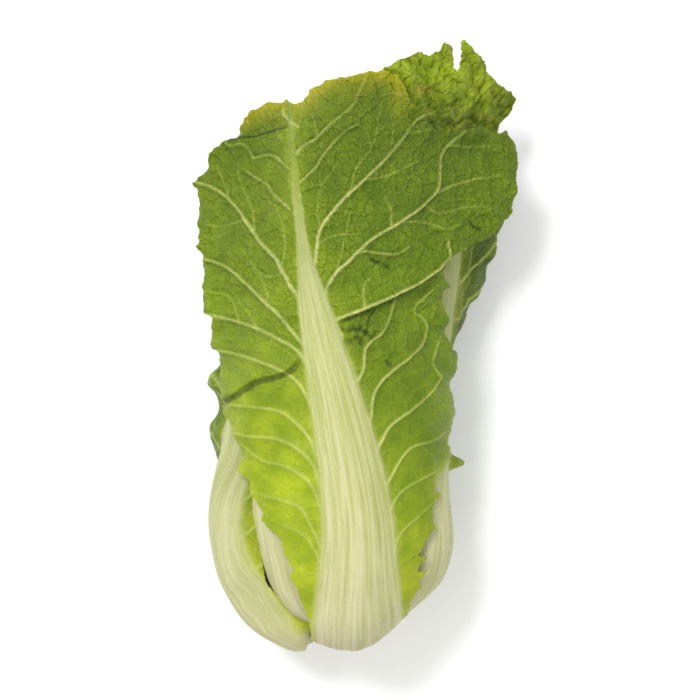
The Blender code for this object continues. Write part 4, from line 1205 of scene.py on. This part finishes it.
def build_leaf(leaf, coarse, rows, later, look, material, stands=False):
    name, direction, drift, share, length, width = leaf
    mc, lin, lout = coarse
    step, seed = look["step"], look.get("seed", int(share * 100))
    lo_a, hi_a = (direction - 158, direction + 158)
    t, a, inner, normal, room, wt, wa = fine_grid(rows, lin, lout, stands, lo_a, hi_a, step)
    x, y = inner[..., 0], inner[..., 1]
    m, off, s = leaf_margin(leaf, t, a)
    if stands:
        far_up = ramp(y, 225, 262)
        m = np.minimum(m, right_edge(t, a) * (1 - far_up) + tip_edge(x, y, inner[..., 2] + 3.0) * far_up)
    else:
        m = clip_to_head(m, t, a, share)
    if name == "left_leaf":
        m = np.minimum(m, wing_edge(a, x, y - 7.0 * (1 - ramp(t, 0.08, 0.2))))
    rib_w = np.maximum(hermite(RIB_HALF_WIDTH, s) * max(width, 0.5), 0.8)
    if "ribs" in look:
        r = CORE_RADIUS + share * (head_radius(t, stands) - CORE_RADIUS)
        off = turn(a, np.radians(hermite(look["ribs"], t))) * r
    u = np.abs(off) / rib_w
    rib = 1 - ramp(u, 0.84, 1.15)
    if stands:
        rib = rib * (1 - ramp(y, 225, 262))
    blade = (1 - rib) * ramp(s, 10, 60)
    inside = rows is INNER_ROWS
    outside = np.clip(-outline_distance(FRONT_OUTLINE, x, y) / 4, 0, 1) if name in LOOKS and not inside else 0 * m
    tooth = 0.8 if inside or stands else 1.5
    if name == "outer_leaf_2":
        m = m + 13.0 * (1 - ramp(s, 95, 140)) * (off < 0)
    if name in ("back_leaf", "outer_leaf_4"):
        m = m + 12.0 * (1 - ramp(s, 90, 140))
    m = m + blade * ramp(s, 50, 120) * (1 - ramp(m, 3, 9)) * (tooth * noise(off / 5.5, s / 5.5, seed) + 0.7 * tooth * noise(off / 2.6, s / 2.6, seed + 1)
                                         + 2.2 * tooth * noise(off / 17, s / 17, seed + 2))
    m = np.where(connected(m > 0, (int(0.35 * m.shape[0]), int(np.argmin(np.abs(off[int(0.35 * m.shape[0])]))))), m, np.minimum(m, -1.0))
    if later:
        cover = wt @ np.max(later, axis=0) @ wa.T
        free = 1 - ramp(cover, -7, -1)
    else:
        free = np.ones_like(m)
    if stands:
        free = np.maximum(free * outside, outside)
    field = vein_field(side_veins(width, length, seed), (-125, 125, -5, 365), 0.5 if step < 1.4 else 0.8)
    ridge = field.sample(field.ridge, off, s)
    far = field.sample(field.far, off, s)
    thin = 0.95 if not inside else 0.7
    body = np.clip(1 - u ** 2, 0, 1) ** 0.6
    thick = thin + np.maximum(np.minimum(room, 9.5) - thin - 0.15, 0) * body
    thick = np.where(rib_w < 5, thin + 1.6 * np.exp(-u ** 2), thick)
    across = off / np.maximum(rib_w, 2.0)
    flute = (1.3 * noise(across * 2.6 + 0.3, s / 190, seed + 3) + 0.8 * noise(across * 6.0, s / 150, seed + 4)
             + 0.5 * noise(across * 13.0, s / 120, seed + 12))
    thick = thick + rib * ramp(rib_w, 3, 9) * (0.30 * flute - 0.2) * (1 if not inside else 0.3)
    edge = np.exp(-np.maximum(m, 0) / 10.0)
    swell = 1 - np.exp(-(far / 5.0) ** 2)
    tall = ramp(s, 80, 200)
    bend_u, bend_v = off + 2.5 * noise(off / 9, s / 9, seed + 13), s + 2.5 * noise(off / 9, s / 9, seed + 14)
    crumple = 0.55 - 1.5 * np.abs(noise(bend_u / 8, bend_v / 8, seed + 15)) ** 0.8 + 0.4 * np.abs(noise(bend_u / 3.4, bend_v / 3.4, seed + 16))
    shape = 1.1 + 1.3 * noise(off / 26, s / 30, seed + 5) + 0.8 * noise(off / 11, s / 11, seed + 6) + 0.4 * noise(off / 5, s / 5, seed + 7) - 0.4 * swell + 0.6 * crumple * (0.2 + 0.8 * tall)
    ruffle = edge * (1.5 + 3.0 * noise(off / 13, s / 13, seed + 8) + 1.5 * noise(off / 6, s / 6, seed + 9))
    disp = blade * (0.4 + 0.6 * tall) * (shape + ruffle * (0.3 + 0.7 * free))
    if stands:
        tip = ramp(y, 258, 276) * outside
        px, py = x + 3 * noise(x / 8, y / 8, 98), y + 3 * noise(x / 8, y / 8, 99)
        puckers = 2.2 - 3.0 * np.exp(-np.abs(noise(px / 9, py / 9, 91)) * 8) - 1.7 * np.exp(-np.abs(noise(px / 4.6, py / 4.6, 92)) * 6) + 2.0 * noise(x / 15, y / 15, 90)
        disp = disp * (1 - 0.7 * tip) + tip * (1.2 + puckers)
        tab = np.exp(-((y - 97) / 3.6) ** 2) * np.exp(-(turn(a, math.radians(94)) / 0.10) ** 2)
        disp = disp + 11 * tab
        free = np.maximum(free, np.clip(3 * tab, 0, 1))
    if name == "left_leaf":
        around = turn(a, math.radians(-80))
        under = ramp(around, math.radians(-60), math.radians(-36))
        foot = (1 - ramp(t, 0.12, 0.42)) * (0.25 + 0.75 * ramp(t, 0.0, 0.045))
        belly = (1 - ramp(y, 95, 140)) * under * (1 - ramp(around, math.radians(10), math.radians(30)))
        wide = math.radians(26) * (1 - ramp(t, 0.06, 0.12))
        foot = foot * under * (1 - ramp(around - wide, math.radians(6), math.radians(22))) * (1 - ramp(x, -20, -6))
        wing = (1 - ramp(y, 95, 130)) * ramp(around, math.radians(8), math.radians(28)) * ramp(t, 0.04, 0.1)
        disp = disp * (1 - 0.9 * wing) + 3.4 * belly * (1 - wing) * ramp(t, 0.10, 0.34) - 2.5 * wing
        thick = thick + (6.9 * foot + 2.6 * belly * (1 - ramp(t, 0.10, 0.34))) * ramp(m, 0, 5)
        reach = 9.5 * np.exp(-((y - 141) / 10.0) ** 2) + 7.5 * np.exp(-((y - 115) / 9.0) ** 2)
        flare = reach * np.exp(-(turn(a, math.radians(-94)) / 0.30) ** 2) * (0.85 + 0.45 * noise(y / 9.0, a * 7, 93))
        disp = disp + np.maximum(flare, 0)
    if name == "outer_leaf_2":
        disp = disp + 3.4 * (1 - ramp(y, 95, 130)) * free
    if name == "left_leaf":
        free = np.maximum(free, np.clip(1.2 * np.maximum(belly, foot), 0, 1))
    limit = np.maximum(room - thick - 0.1, 0.05) + (9.0 if name != "left_leaf" else 11.0) * free
    disp = np.maximum(soft_top(disp, limit), -0.25 if name != "left_leaf" else -2.5)
    if name == "outer_leaf_2":
        disp = np.maximum(disp, (1 - ramp(y, 85, 120)) * (room - thick - 0.3))
    relief = blade * (0.7 * ridge + 0.25 * np.exp(-(far / 2.6) ** 2)) * (1 if not inside else 0.5)
    away = normal
    if stands:
        upright = np.stack([0 * x, 0 * x, 0 * x + 1], axis=-1)
        away = mix(normal, upright, ramp(y, 250, 270) * (normal[..., 2] > 0.05))
        away = away / np.linalg.norm(away, axis=-1, keepdims=True)
    base = inner + away * disp[..., None]
    outer = base + normal * ((thick + relief) * edge_thickness(m))[..., None]

    green = tone(look["blade"], s)
    green = green * (1 + 0.10 * noise(off / 24, s / 24, seed + 10) + 0.06 * noise(off / 9, s / 9, seed + 11))[..., None]
    margin = np.exp(-np.maximum(m, 0) / 2.2)
    green = mix(green, linear((170, 182, 58)) + 0 * green, 0.35 * margin)
    green = mix(green, linear((196, 206, 100)) + 0 * green, 0.45 * np.exp(-np.maximum(np.abs(off) - rib_w, 0) / 5.0))
    brown = 0 * m
    if stands:
        brown = np.clip(ramp(y, 272, 290) * (noise(x / 11, y / 9, 95) * 1.6 - 0.2), 0, 1)
        tip_green = ramp(y, 272, 310) * outside
        green = green * (1 - 0.20 * ramp(y, 255, 268) * (1 - ramp(y, 285, 305)) * outside)[..., None]
        green = mix(green, linear((168, 190, 22)) + 0 * green, 0.85 * tip_green * np.clip(0.7 + 0.8 * noise(x / 12, y / 12, 96), 0, 1))
        # the tip is painted lighter on its pucker crests and darker in the pucker hollows: painted light and shade of
        # the relief
        green = green * np.clip(1.08 + tip * 0.11 * (puckers - 1.3), 0.5, 1.35)[..., None]
    ribs = tone(look["rib"], s)
    stripe = np.clip(0.5 + 0.5 * flute, 0, 1)
    ribs = mix(ribs * 1.04, ribs * linear((222, 232, 184)), 0.42 * (1 - stripe))
    ribs = mix(ribs, linear((200, 208, 124)) + 0 * ribs, 0.35 * ramp(u, 0.6, 1.0))
    tint = mix(green, ribs, rib)
    faint = 1 - 0.65 * ramp(y, 240, 270) if stands else 1.0
    tint = mix(tint, VEIN_TINT + 0 * tint, np.clip(1.1 * ridge, 0, 0.85) * (1 - rib) * faint)
    tint = mix(tint, linear((150, 140, 40)) + 0 * tint, 0.55 * brown)
    if name == "left_leaf":
        blemish = np.exp(-(((x + 61) / 1.7) ** 2 + ((y - 22) / 2.4) ** 2)) * np.clip(0.6 + noise(x / 1.3, y / 1.3, 97), 0, 1)
        tint = mix(tint, linear((150, 112, 58)) + 0 * tint, np.clip(blemish, 0, 0.8))
    tint = settle(tint, np.maximum(rib, 1.0 * ridge * faint))
    lift = SHIFT[2] + 0.03
    outer[..., 2] = np.maximum(outer[..., 2], lift)
    base[..., 2] = np.maximum(base[..., 2], lift + np.minimum(thick, 1.2) * 0.8)
    fields = {
        "tint": np.concatenate([tint, np.ones(tint.shape[:2] + (1,))], axis=-1),
        "marks": np.stack([rib, np.clip(ridge, 0, 1), brown], axis=-1),
        "flat": np.stack([off + 200 * seed, s, 0 * s], axis=-1),
        "along": np.stack([off / np.maximum(rib_w, 2.0) * 12, s + 31 * seed, 0.2 + 0.8 * ramp(s, 110, 230)], axis=-1)}
    return close_leaf(name + "_skin", m, step, outer - SHIFT, base - SHIFT, fields, material, name, look["slot"])


def build_core(name, rings, columns, colour, material, slot_name, seed, lumps):
    """The heart and the stem: rings of (station, share, shrink towards the ring's middle, rise in mm), closed on the axis."""
    a = np.linspace(0, 2 * math.pi, columns, endpoint=False)
    pts, tints = [], []
    for t, share, shrink, rise in rings:
        p = np.stack(place(np.full(columns, t), a, np.full(columns, share)), axis=-1)
        middle = p.mean(axis=0)
        out = p - middle
        n = out / np.maximum(np.linalg.norm(out, axis=1, keepdims=True), 1e-6)
        p = middle + out * shrink + n * (lumps * noise(np.cos(a) * 2.4 + t * 9, np.sin(a) * 2.4 + share * 9, seed))[:, None] * shrink
        p[:, 1] += rise * (1 + 0.5 * noise(np.cos(a) * 5 * shrink, np.sin(a) * 5 * shrink, seed + 1))
        pts.append(p)
        tints.append(np.array([colour(t, share, shrink, q) for q in a]))
    rows = len(rings)
    verts, tint = np.concatenate(pts), np.concatenate(tints)
    lo, hi = len(verts), len(verts) + 1
    verts = np.concatenate([verts, pts[0].mean(axis=0)[None], pts[-1].mean(axis=0)[None]])
    tint = np.concatenate([tint, tints[0].mean(axis=0)[None], tints[-1].mean(axis=0)[None]])
    faces, corners = [], []
    for k in range(rows - 1):
        for j in range(columns):
            j2 = (j + 1) % columns
            p, q = k * columns + j, k * columns + j2
            r, s = p + columns, q + columns
            u0, u1 = 0.01 + 0.98 * j / columns, 0.01 + 0.98 * (j + 1) / columns
            v0, v1 = 0.06 + 0.88 * k / rows, 0.06 + 0.88 * (k + 1) / rows
            faces += [(p, q, s), (p, s, r)]
            corners += [[(u0, v0), (u1, v0), (u1, v1)], [(u0, v0), (u1, v1), (u0, v1)]]
    for j in range(columns):
        j2 = (j + 1) % columns
        u0, u1 = 0.01 + 0.98 * j / columns, 0.01 + 0.98 * (j + 1) / columns
        n = (rows - 1) * columns
        faces.append((lo, j2, j))
        corners.append([((u0 + u1) / 2, 0.01), (u1, 0.055), (u0, 0.055)])
        faces.append((hi, n + j, n + j2))
        corners.append([((u0 + u1) / 2, 0.99), (u0, 0.945), (u1, 0.945)])
    faces, corners = np.array(faces), np.array(corners)
    if signed_volume(verts, faces) < 0:
        faces, corners = faces[:, ::-1], corners[:, ::-1]
    zero = np.zeros(len(verts))
    values = {"tint": np.concatenate([np.clip(tint, 0, 1), np.ones((len(verts), 1))], axis=1),
              "marks": np.stack([zero + 1, zero, zero], axis=1), "flat": verts * 1.0, "along": verts[:, [0, 2, 1]] * 1.0}
    return make_object(name + "_skin", verts - SHIFT, faces, corners, values, material, name, slot_name)


# ---- surfaces ----

def link(tree, value, socket):
    if isinstance(value, bpy.types.NodeSocket):
        tree.links.new(value, socket)
    else:
        socket.default_value = value


def add(tree, kind, sockets=(), **settings):
    n = tree.nodes.new(kind)
    for k, v in settings.items():
        setattr(n, k, v)
    for k, v in dict(sockets).items():
        link(tree, v, n.inputs[k])
    return n


def maths(tree, operation, a, b=0.0, clamp=False):
    n = add(tree, "ShaderNodeMath", operation=operation, use_clamp=clamp)
    link(tree, a, n.inputs[0])
    link(tree, b, n.inputs[1])
    return n.outputs[0]


def blend(tree, factor, a, b, blend_type="MIX"):
    n = add(tree, "ShaderNodeMix", data_type="RGBA", blend_type=blend_type, clamp_factor=True)
    link(tree, factor, n.inputs[0])
    link(tree, a, n.inputs[6])
    link(tree, b, n.inputs[7])
    return n.outputs[2]


def spanned(tree, value, a, b, c, d, kind="SMOOTHSTEP"):
    n = add(tree, "ShaderNodeMapRange", interpolation_type=kind)
    for k, v in enumerate((value, a, b, c, d)):
        link(tree, v, n.inputs[k])
    return n.outputs[0]


def leaf_material(name, net=0.5, relief=0.6, gloss=0.42, soft=0.12, crinkle=1.0):
    mat = bpy.data.materials.new(name)
    mat.use_nodes = True
    tree = mat.node_tree
    tree.nodes.clear()
    tint = add(tree, "ShaderNodeAttribute", attribute_name="tint").outputs["Color"]
    marks = add(tree, "ShaderNodeSeparateXYZ", {0: add(tree, "ShaderNodeAttribute", attribute_name="marks").outputs["Vector"]})
    rib, vein, old = marks.outputs[0], marks.outputs[1], marks.outputs[2]
    flat = add(tree, "ShaderNodeAttribute", attribute_name="flat").outputs["Vector"]
    along = add(tree, "ShaderNodeAttribute", attribute_name="along").outputs["Vector"]
    blade = maths(tree, "SUBTRACT", 1.0, rib, clamp=True)
    crinkled = maths(tree, "MULTIPLY", add(tree, "ShaderNodeSeparateXYZ", {0: along}).outputs[2], blade)

    warp = add(tree, "ShaderNodeTexNoise", {"Vector": flat, "Scale": 0.16, "Detail": 3.0})
    centred = add(tree, "ShaderNodeVectorMath", {0: warp.outputs["Color"], 1: (0.5, 0.5, 0.5)}, operation="SUBTRACT")
    shifted = add(tree, "ShaderNodeVectorMath", {0: centred.outputs[0], "Scale": 5.5}, operation="SCALE")
    place_at = add(tree, "ShaderNodeVectorMath", {0: flat, 1: shifted.outputs[0]}, operation="ADD").outputs[0]
    coarse = add(tree, "ShaderNodeTexVoronoi", {"Vector": place_at, "Scale": 0.115}, feature="DISTANCE_TO_EDGE", voronoi_dimensions="2D").outputs["Distance"]
    small = add(tree, "ShaderNodeTexVoronoi", {"Vector": place_at, "Scale": 0.34}, feature="DISTANCE_TO_EDGE", voronoi_dimensions="2D").outputs["Distance"]
    line_a = spanned(tree, coarse, 0.0, 0.055, 1.0, 0.0)
    line_b = spanned(tree, small, 0.0, 0.10, 0.45, 0.0)
    patchy = spanned(tree, add(tree, "ShaderNodeTexNoise", {"Vector": flat, "Scale": 0.05, "Detail": 2.0}).outputs[0], 0.35, 0.65, 0.35, 1.0)
    web = maths(tree, "MULTIPLY", maths(tree, "MULTIPLY", maths(tree, "MAXIMUM", line_a, line_b), patchy), blade)

    mottle = add(tree, "ShaderNodeTexNoise", {"Vector": flat, "Scale": 0.07, "Detail": 5.0, "Roughness": 0.6}).outputs[0]
    grain = add(tree, "ShaderNodeTexNoise", {"Vector": flat, "Scale": 0.9, "Detail": 3.0, "Roughness": 0.7}).outputs[0]
    # deep and bright are a shaded and a lit copy of the tint; the mottle that picks between them also raises the bump,
    # so this is random mottling and also painted light on raised patches and painted shade in low ones
    deep = blend(tree, 1.0, tint, (0.72, 0.80, 0.56, 1.0), "MULTIPLY")
    bright = blend(tree, 1.0, tint, (1.14, 1.11, 1.08, 1.0), "MULTIPLY")
    body = blend(tree, spanned(tree, mottle, 0.32, 0.68, 0.0, 1.0), deep, bright)
    body = blend(tree, maths(tree, "MULTIPLY", spanned(tree, grain, 0.45, 0.75, 0.0, 0.35), blade), body, deep)
    body = blend(tree, blade, tint, body)
    pale = blend(tree, 0.50, tint, (0.46, 0.52, 0.12, 1.0))
    body = blend(tree, maths(tree, "MULTIPLY", web, net), body, pale)
    crease = add(tree, "ShaderNodeTexVoronoi", {"Vector": place_at, "Scale": 0.21}, feature="DISTANCE_TO_EDGE", voronoi_dimensions="2D").outputs["Distance"]
    # painted shade: the crinkle hollows along the cell edges are painted darker, and the bump sinks them too
    hollow_shade = maths(tree, "MULTIPLY", spanned(tree, crease, 0.0, 0.07, 0.55, 0.0), maths(tree, "MULTIPLY", spanned(tree, mottle, 0.42, 0.62, 0.0, 1.0), crinkled))
    body = blend(tree, hollow_shade, body, blend(tree, 1.0, body, (0.52, 0.60, 0.42, 1.0), "MULTIPLY"))

    stretch = add(tree, "ShaderNodeVectorMath", {0: along, 1: (1.0, 0.022, 1.0)}, operation="MULTIPLY").outputs[0]
    streak = add(tree, "ShaderNodeTexNoise", {"Vector": stretch, "Scale": 0.75, "Detail": 5.0, "Roughness": 0.65}).outputs[0]
    speck = add(tree, "ShaderNodeTexNoise", {"Vector": along, "Scale": 0.55, "Detail": 4.0, "Roughness": 0.75}).outputs[0]
    warm = blend(tree, 1.0, body, (0.86, 0.92, 0.74, 1.0), "MULTIPLY")
    clear = blend(tree, 0.25, body, (0.70, 0.68, 0.46, 1.0))
    fibres = blend(tree, spanned(tree, streak, 0.36, 0.62, 0.0, 1.0), warm, clear)
    fibres = blend(tree, spanned(tree, speck, 0.50, 0.72, 0.0, 0.30), fibres, clear)
    colour = blend(tree, rib, body, fibres)
    fleck = add(tree, "ShaderNodeTexNoise", {"Vector": flat, "Scale": 0.35, "Detail": 4.0, "Roughness": 0.7}).outputs[0]
    colour = blend(tree, maths(tree, "MULTIPLY", spanned(tree, fleck, 0.46, 0.62, 0.0, 0.6), old), colour, (0.36, 0.30, 0.05, 1.0))

    height = maths(tree, "MULTIPLY", spanned(tree, coarse, 0.0, 0.20, 0.0, 1.0), -0.50)
    height = maths(tree, "ADD", height, maths(tree, "MULTIPLY", spanned(tree, small, 0.0, 0.25, 0.0, 1.0), -0.26))
    height = maths(tree, "ADD", height, maths(tree, "MULTIPLY", mottle, 2.2 * crinkle))
    height = maths(tree, "ADD", height, maths(tree, "MULTIPLY", grain, 0.35))
    height = maths(tree, "SUBTRACT", height, maths(tree, "MULTIPLY", hollow_shade, 0.5))
    height = maths(tree, "MULTIPLY", height, crinkled)
    lines = maths(tree, "ADD", maths(tree, "MULTIPLY", streak, 0.8), maths(tree, "MULTIPLY", speck, 0.30))
    height = maths(tree, "ADD", height, maths(tree, "MULTIPLY", lines, rib))
    bump = add(tree, "ShaderNodeBump", {"Height": height, "Strength": relief, "Distance": 0.0016})

    rougher = spanned(tree, grain, 0.3, 0.7, gloss, gloss + 0.14, "LINEAR")
    shader = add(tree, "ShaderNodeBsdfPrincipled", {
        "Base Color": colour, "Roughness": rougher, "Normal": bump.outputs[0], "IOR": 1.42, "Metallic": 0.0})
    shader.inputs["Specular IOR Level"].default_value = 0.26
    if soft:
        shader.inputs["Subsurface Weight"].default_value = soft
        shader.inputs["Subsurface Radius"].default_value = (1.0, 0.9, 0.35)
        shader.inputs["Subsurface Scale"].default_value = 0.002
    out = add(tree, "ShaderNodeOutputMaterial")
    tree.links.new(shader.outputs[0], out.inputs[0])
    return mat


def plain_material(name, colour, roughness):
    mat = bpy.data.materials.new(name)
    mat.use_nodes = True
    b = mat.node_tree.nodes["Principled BSDF"]
    b.inputs["Base Color"].default_value = (*colour, 1.0)
    b.inputs["Roughness"].default_value = roughness
    return mat


def build_everything():
    front = leaf_material("front_leaf_surface", net=0.22, relief=0.85, gloss=0.42)
    side = leaf_material("side_leaf_surface", net=0.30, relief=0.85, gloss=0.44)
    under = leaf_material("under_leaf_surface", net=0.26, relief=0.6, gloss=0.44)
    inner = leaf_material("inner_leaf_surface", net=0.30, relief=0.5, gloss=0.46)
    core = leaf_material("stem_surface", net=0.0, relief=0.5, gloss=0.55)
    build_front(front)
    margins = [c[0] for c in OUTER] + [FRONT[0]]
    for k, leaf in enumerate(OUTER_LEAVES):
        look = LOOKS.get(leaf[0]) or dict(UNDER, seed=81 + k)
        mat = side if look["slot"] == "side_leaves" else under
        build_leaf(leaf, OUTER[k], OUTER_ROWS, margins[k + 1:], look, mat, leaf[0] == "right_leaf")
    margins = [c[0] for c in INNER]
    for k, leaf in enumerate(INNER_LEAVES):
        everything = [np.full_like(INNER[0][0], 9.0)]
        build_leaf(leaf, INNER[k], INNER_ROWS, everything, dict(INSIDE, seed=101 + k), inner)
    share = HEART_SHARE - GAP / float(thickness_scale(0.5))
    stations = np.linspace(0.04, 0.9, 40)
    rings = [(float(s), share * float(np.sqrt(np.clip(1 - ((s - 0.45) / 0.47) ** 2, 0.02, 1))), 1.0, 0.0) for s in stations]
    build_core("heart", rings, 32, lambda t, h, k, q: linear((232, 226, 150)), inner, "heart", 3, 0.4)

    def cut(t, h, k, q):
        if k > 0.999:
            return linear((232, 224, 186))
        ring = math.exp(-((k - 0.74 - 0.03 * math.sin(3 * q)) / 0.07) ** 2)
        rim = float(ramp(np.array(k), 0.86, 1.0))
        base = linear((226, 212, 166))
        base = base + (linear((186, 160, 104)) - base) * (0.55 * ring + 0.25 * math.exp(-(k / 0.25) ** 2))
        return base + (linear((168, 134, 82)) - base) * 0.7 * rim

    rings = [(0.0, float(h), 1.0, 0.0) for h in np.linspace(0.02, 0.955, 16)] + [(0.0, 0.97, 1.0, 0.0)]
    rings += [(0.0, 0.955, float(k), -0.9 * (1 - float(k) ** 4) + 0.25 * math.cos(20 * k)) for k in np.linspace(0.985, 0.03, 24)]
    build_core("stem", rings, 72, cut, core, "stem", 4, 0.15)


def area_light(name, where, target, size, watts, colour=(1.0, 1.0, 1.0)):
    data = bpy.data.lights.new(name, "AREA")
    data.shape = "DISK"
    data.size = size
    data.energy = watts
    data.color = colour
    ob = bpy.data.objects.new(name, data)
    ob.location = where
    ob.rotation_mode = "QUATERNION"
    ob.rotation_quaternion = (Vector(target) - Vector(where)).to_track_quat("-Z", "Y")
    bpy.context.scene.collection.objects.link(ob)
    return ob


build_everything()

floor_mesh = bpy.data.meshes.new("floor")
floor_mesh.from_pydata([(-3, -3, 0), (3, -3, 0), (3, 3, 0), (-3, 3, 0)], [], [(0, 1, 2, 3)])
floor = bpy.data.objects.new("floor", floor_mesh)
floor.location = (0, 0, -0.0004)
floor_mesh.materials.append(plain_material("floor_surface", (0.93, 0.93, 0.93), 0.9))
bpy.context.scene.collection.objects.link(floor)

world = bpy.data.worlds.new("world")
world.use_nodes = True
world.node_tree.nodes["Background"].inputs["Color"].default_value = (1.0, 1.0, 1.0, 1.0)
world.node_tree.nodes["Background"].inputs["Strength"].default_value = 0.86
bpy.context.scene.world = world
area_light("key", (-0.50, 0.58, 1.40), (0, 0, 0.03), 0.5, 19.0)
area_light("fill", (0.9, -0.5, 1.3), (0, 0, 0.03), 1.2, 4.0)

camera_data = bpy.data.cameras.new("camera")
camera_data.lens = 100.0
camera_data.sensor_width = 36.0
camera_data.clip_start, camera_data.clip_end = 0.05, 20.0
camera = bpy.data.objects.new("camera", camera_data)
camera.location = (-0.0048, -0.0030, 1.096)
bpy.context.scene.collection.objects.link(camera)
bpy.context.scene.camera = camera
bpy.context.scene.view_settings.view_transform = "Standard"
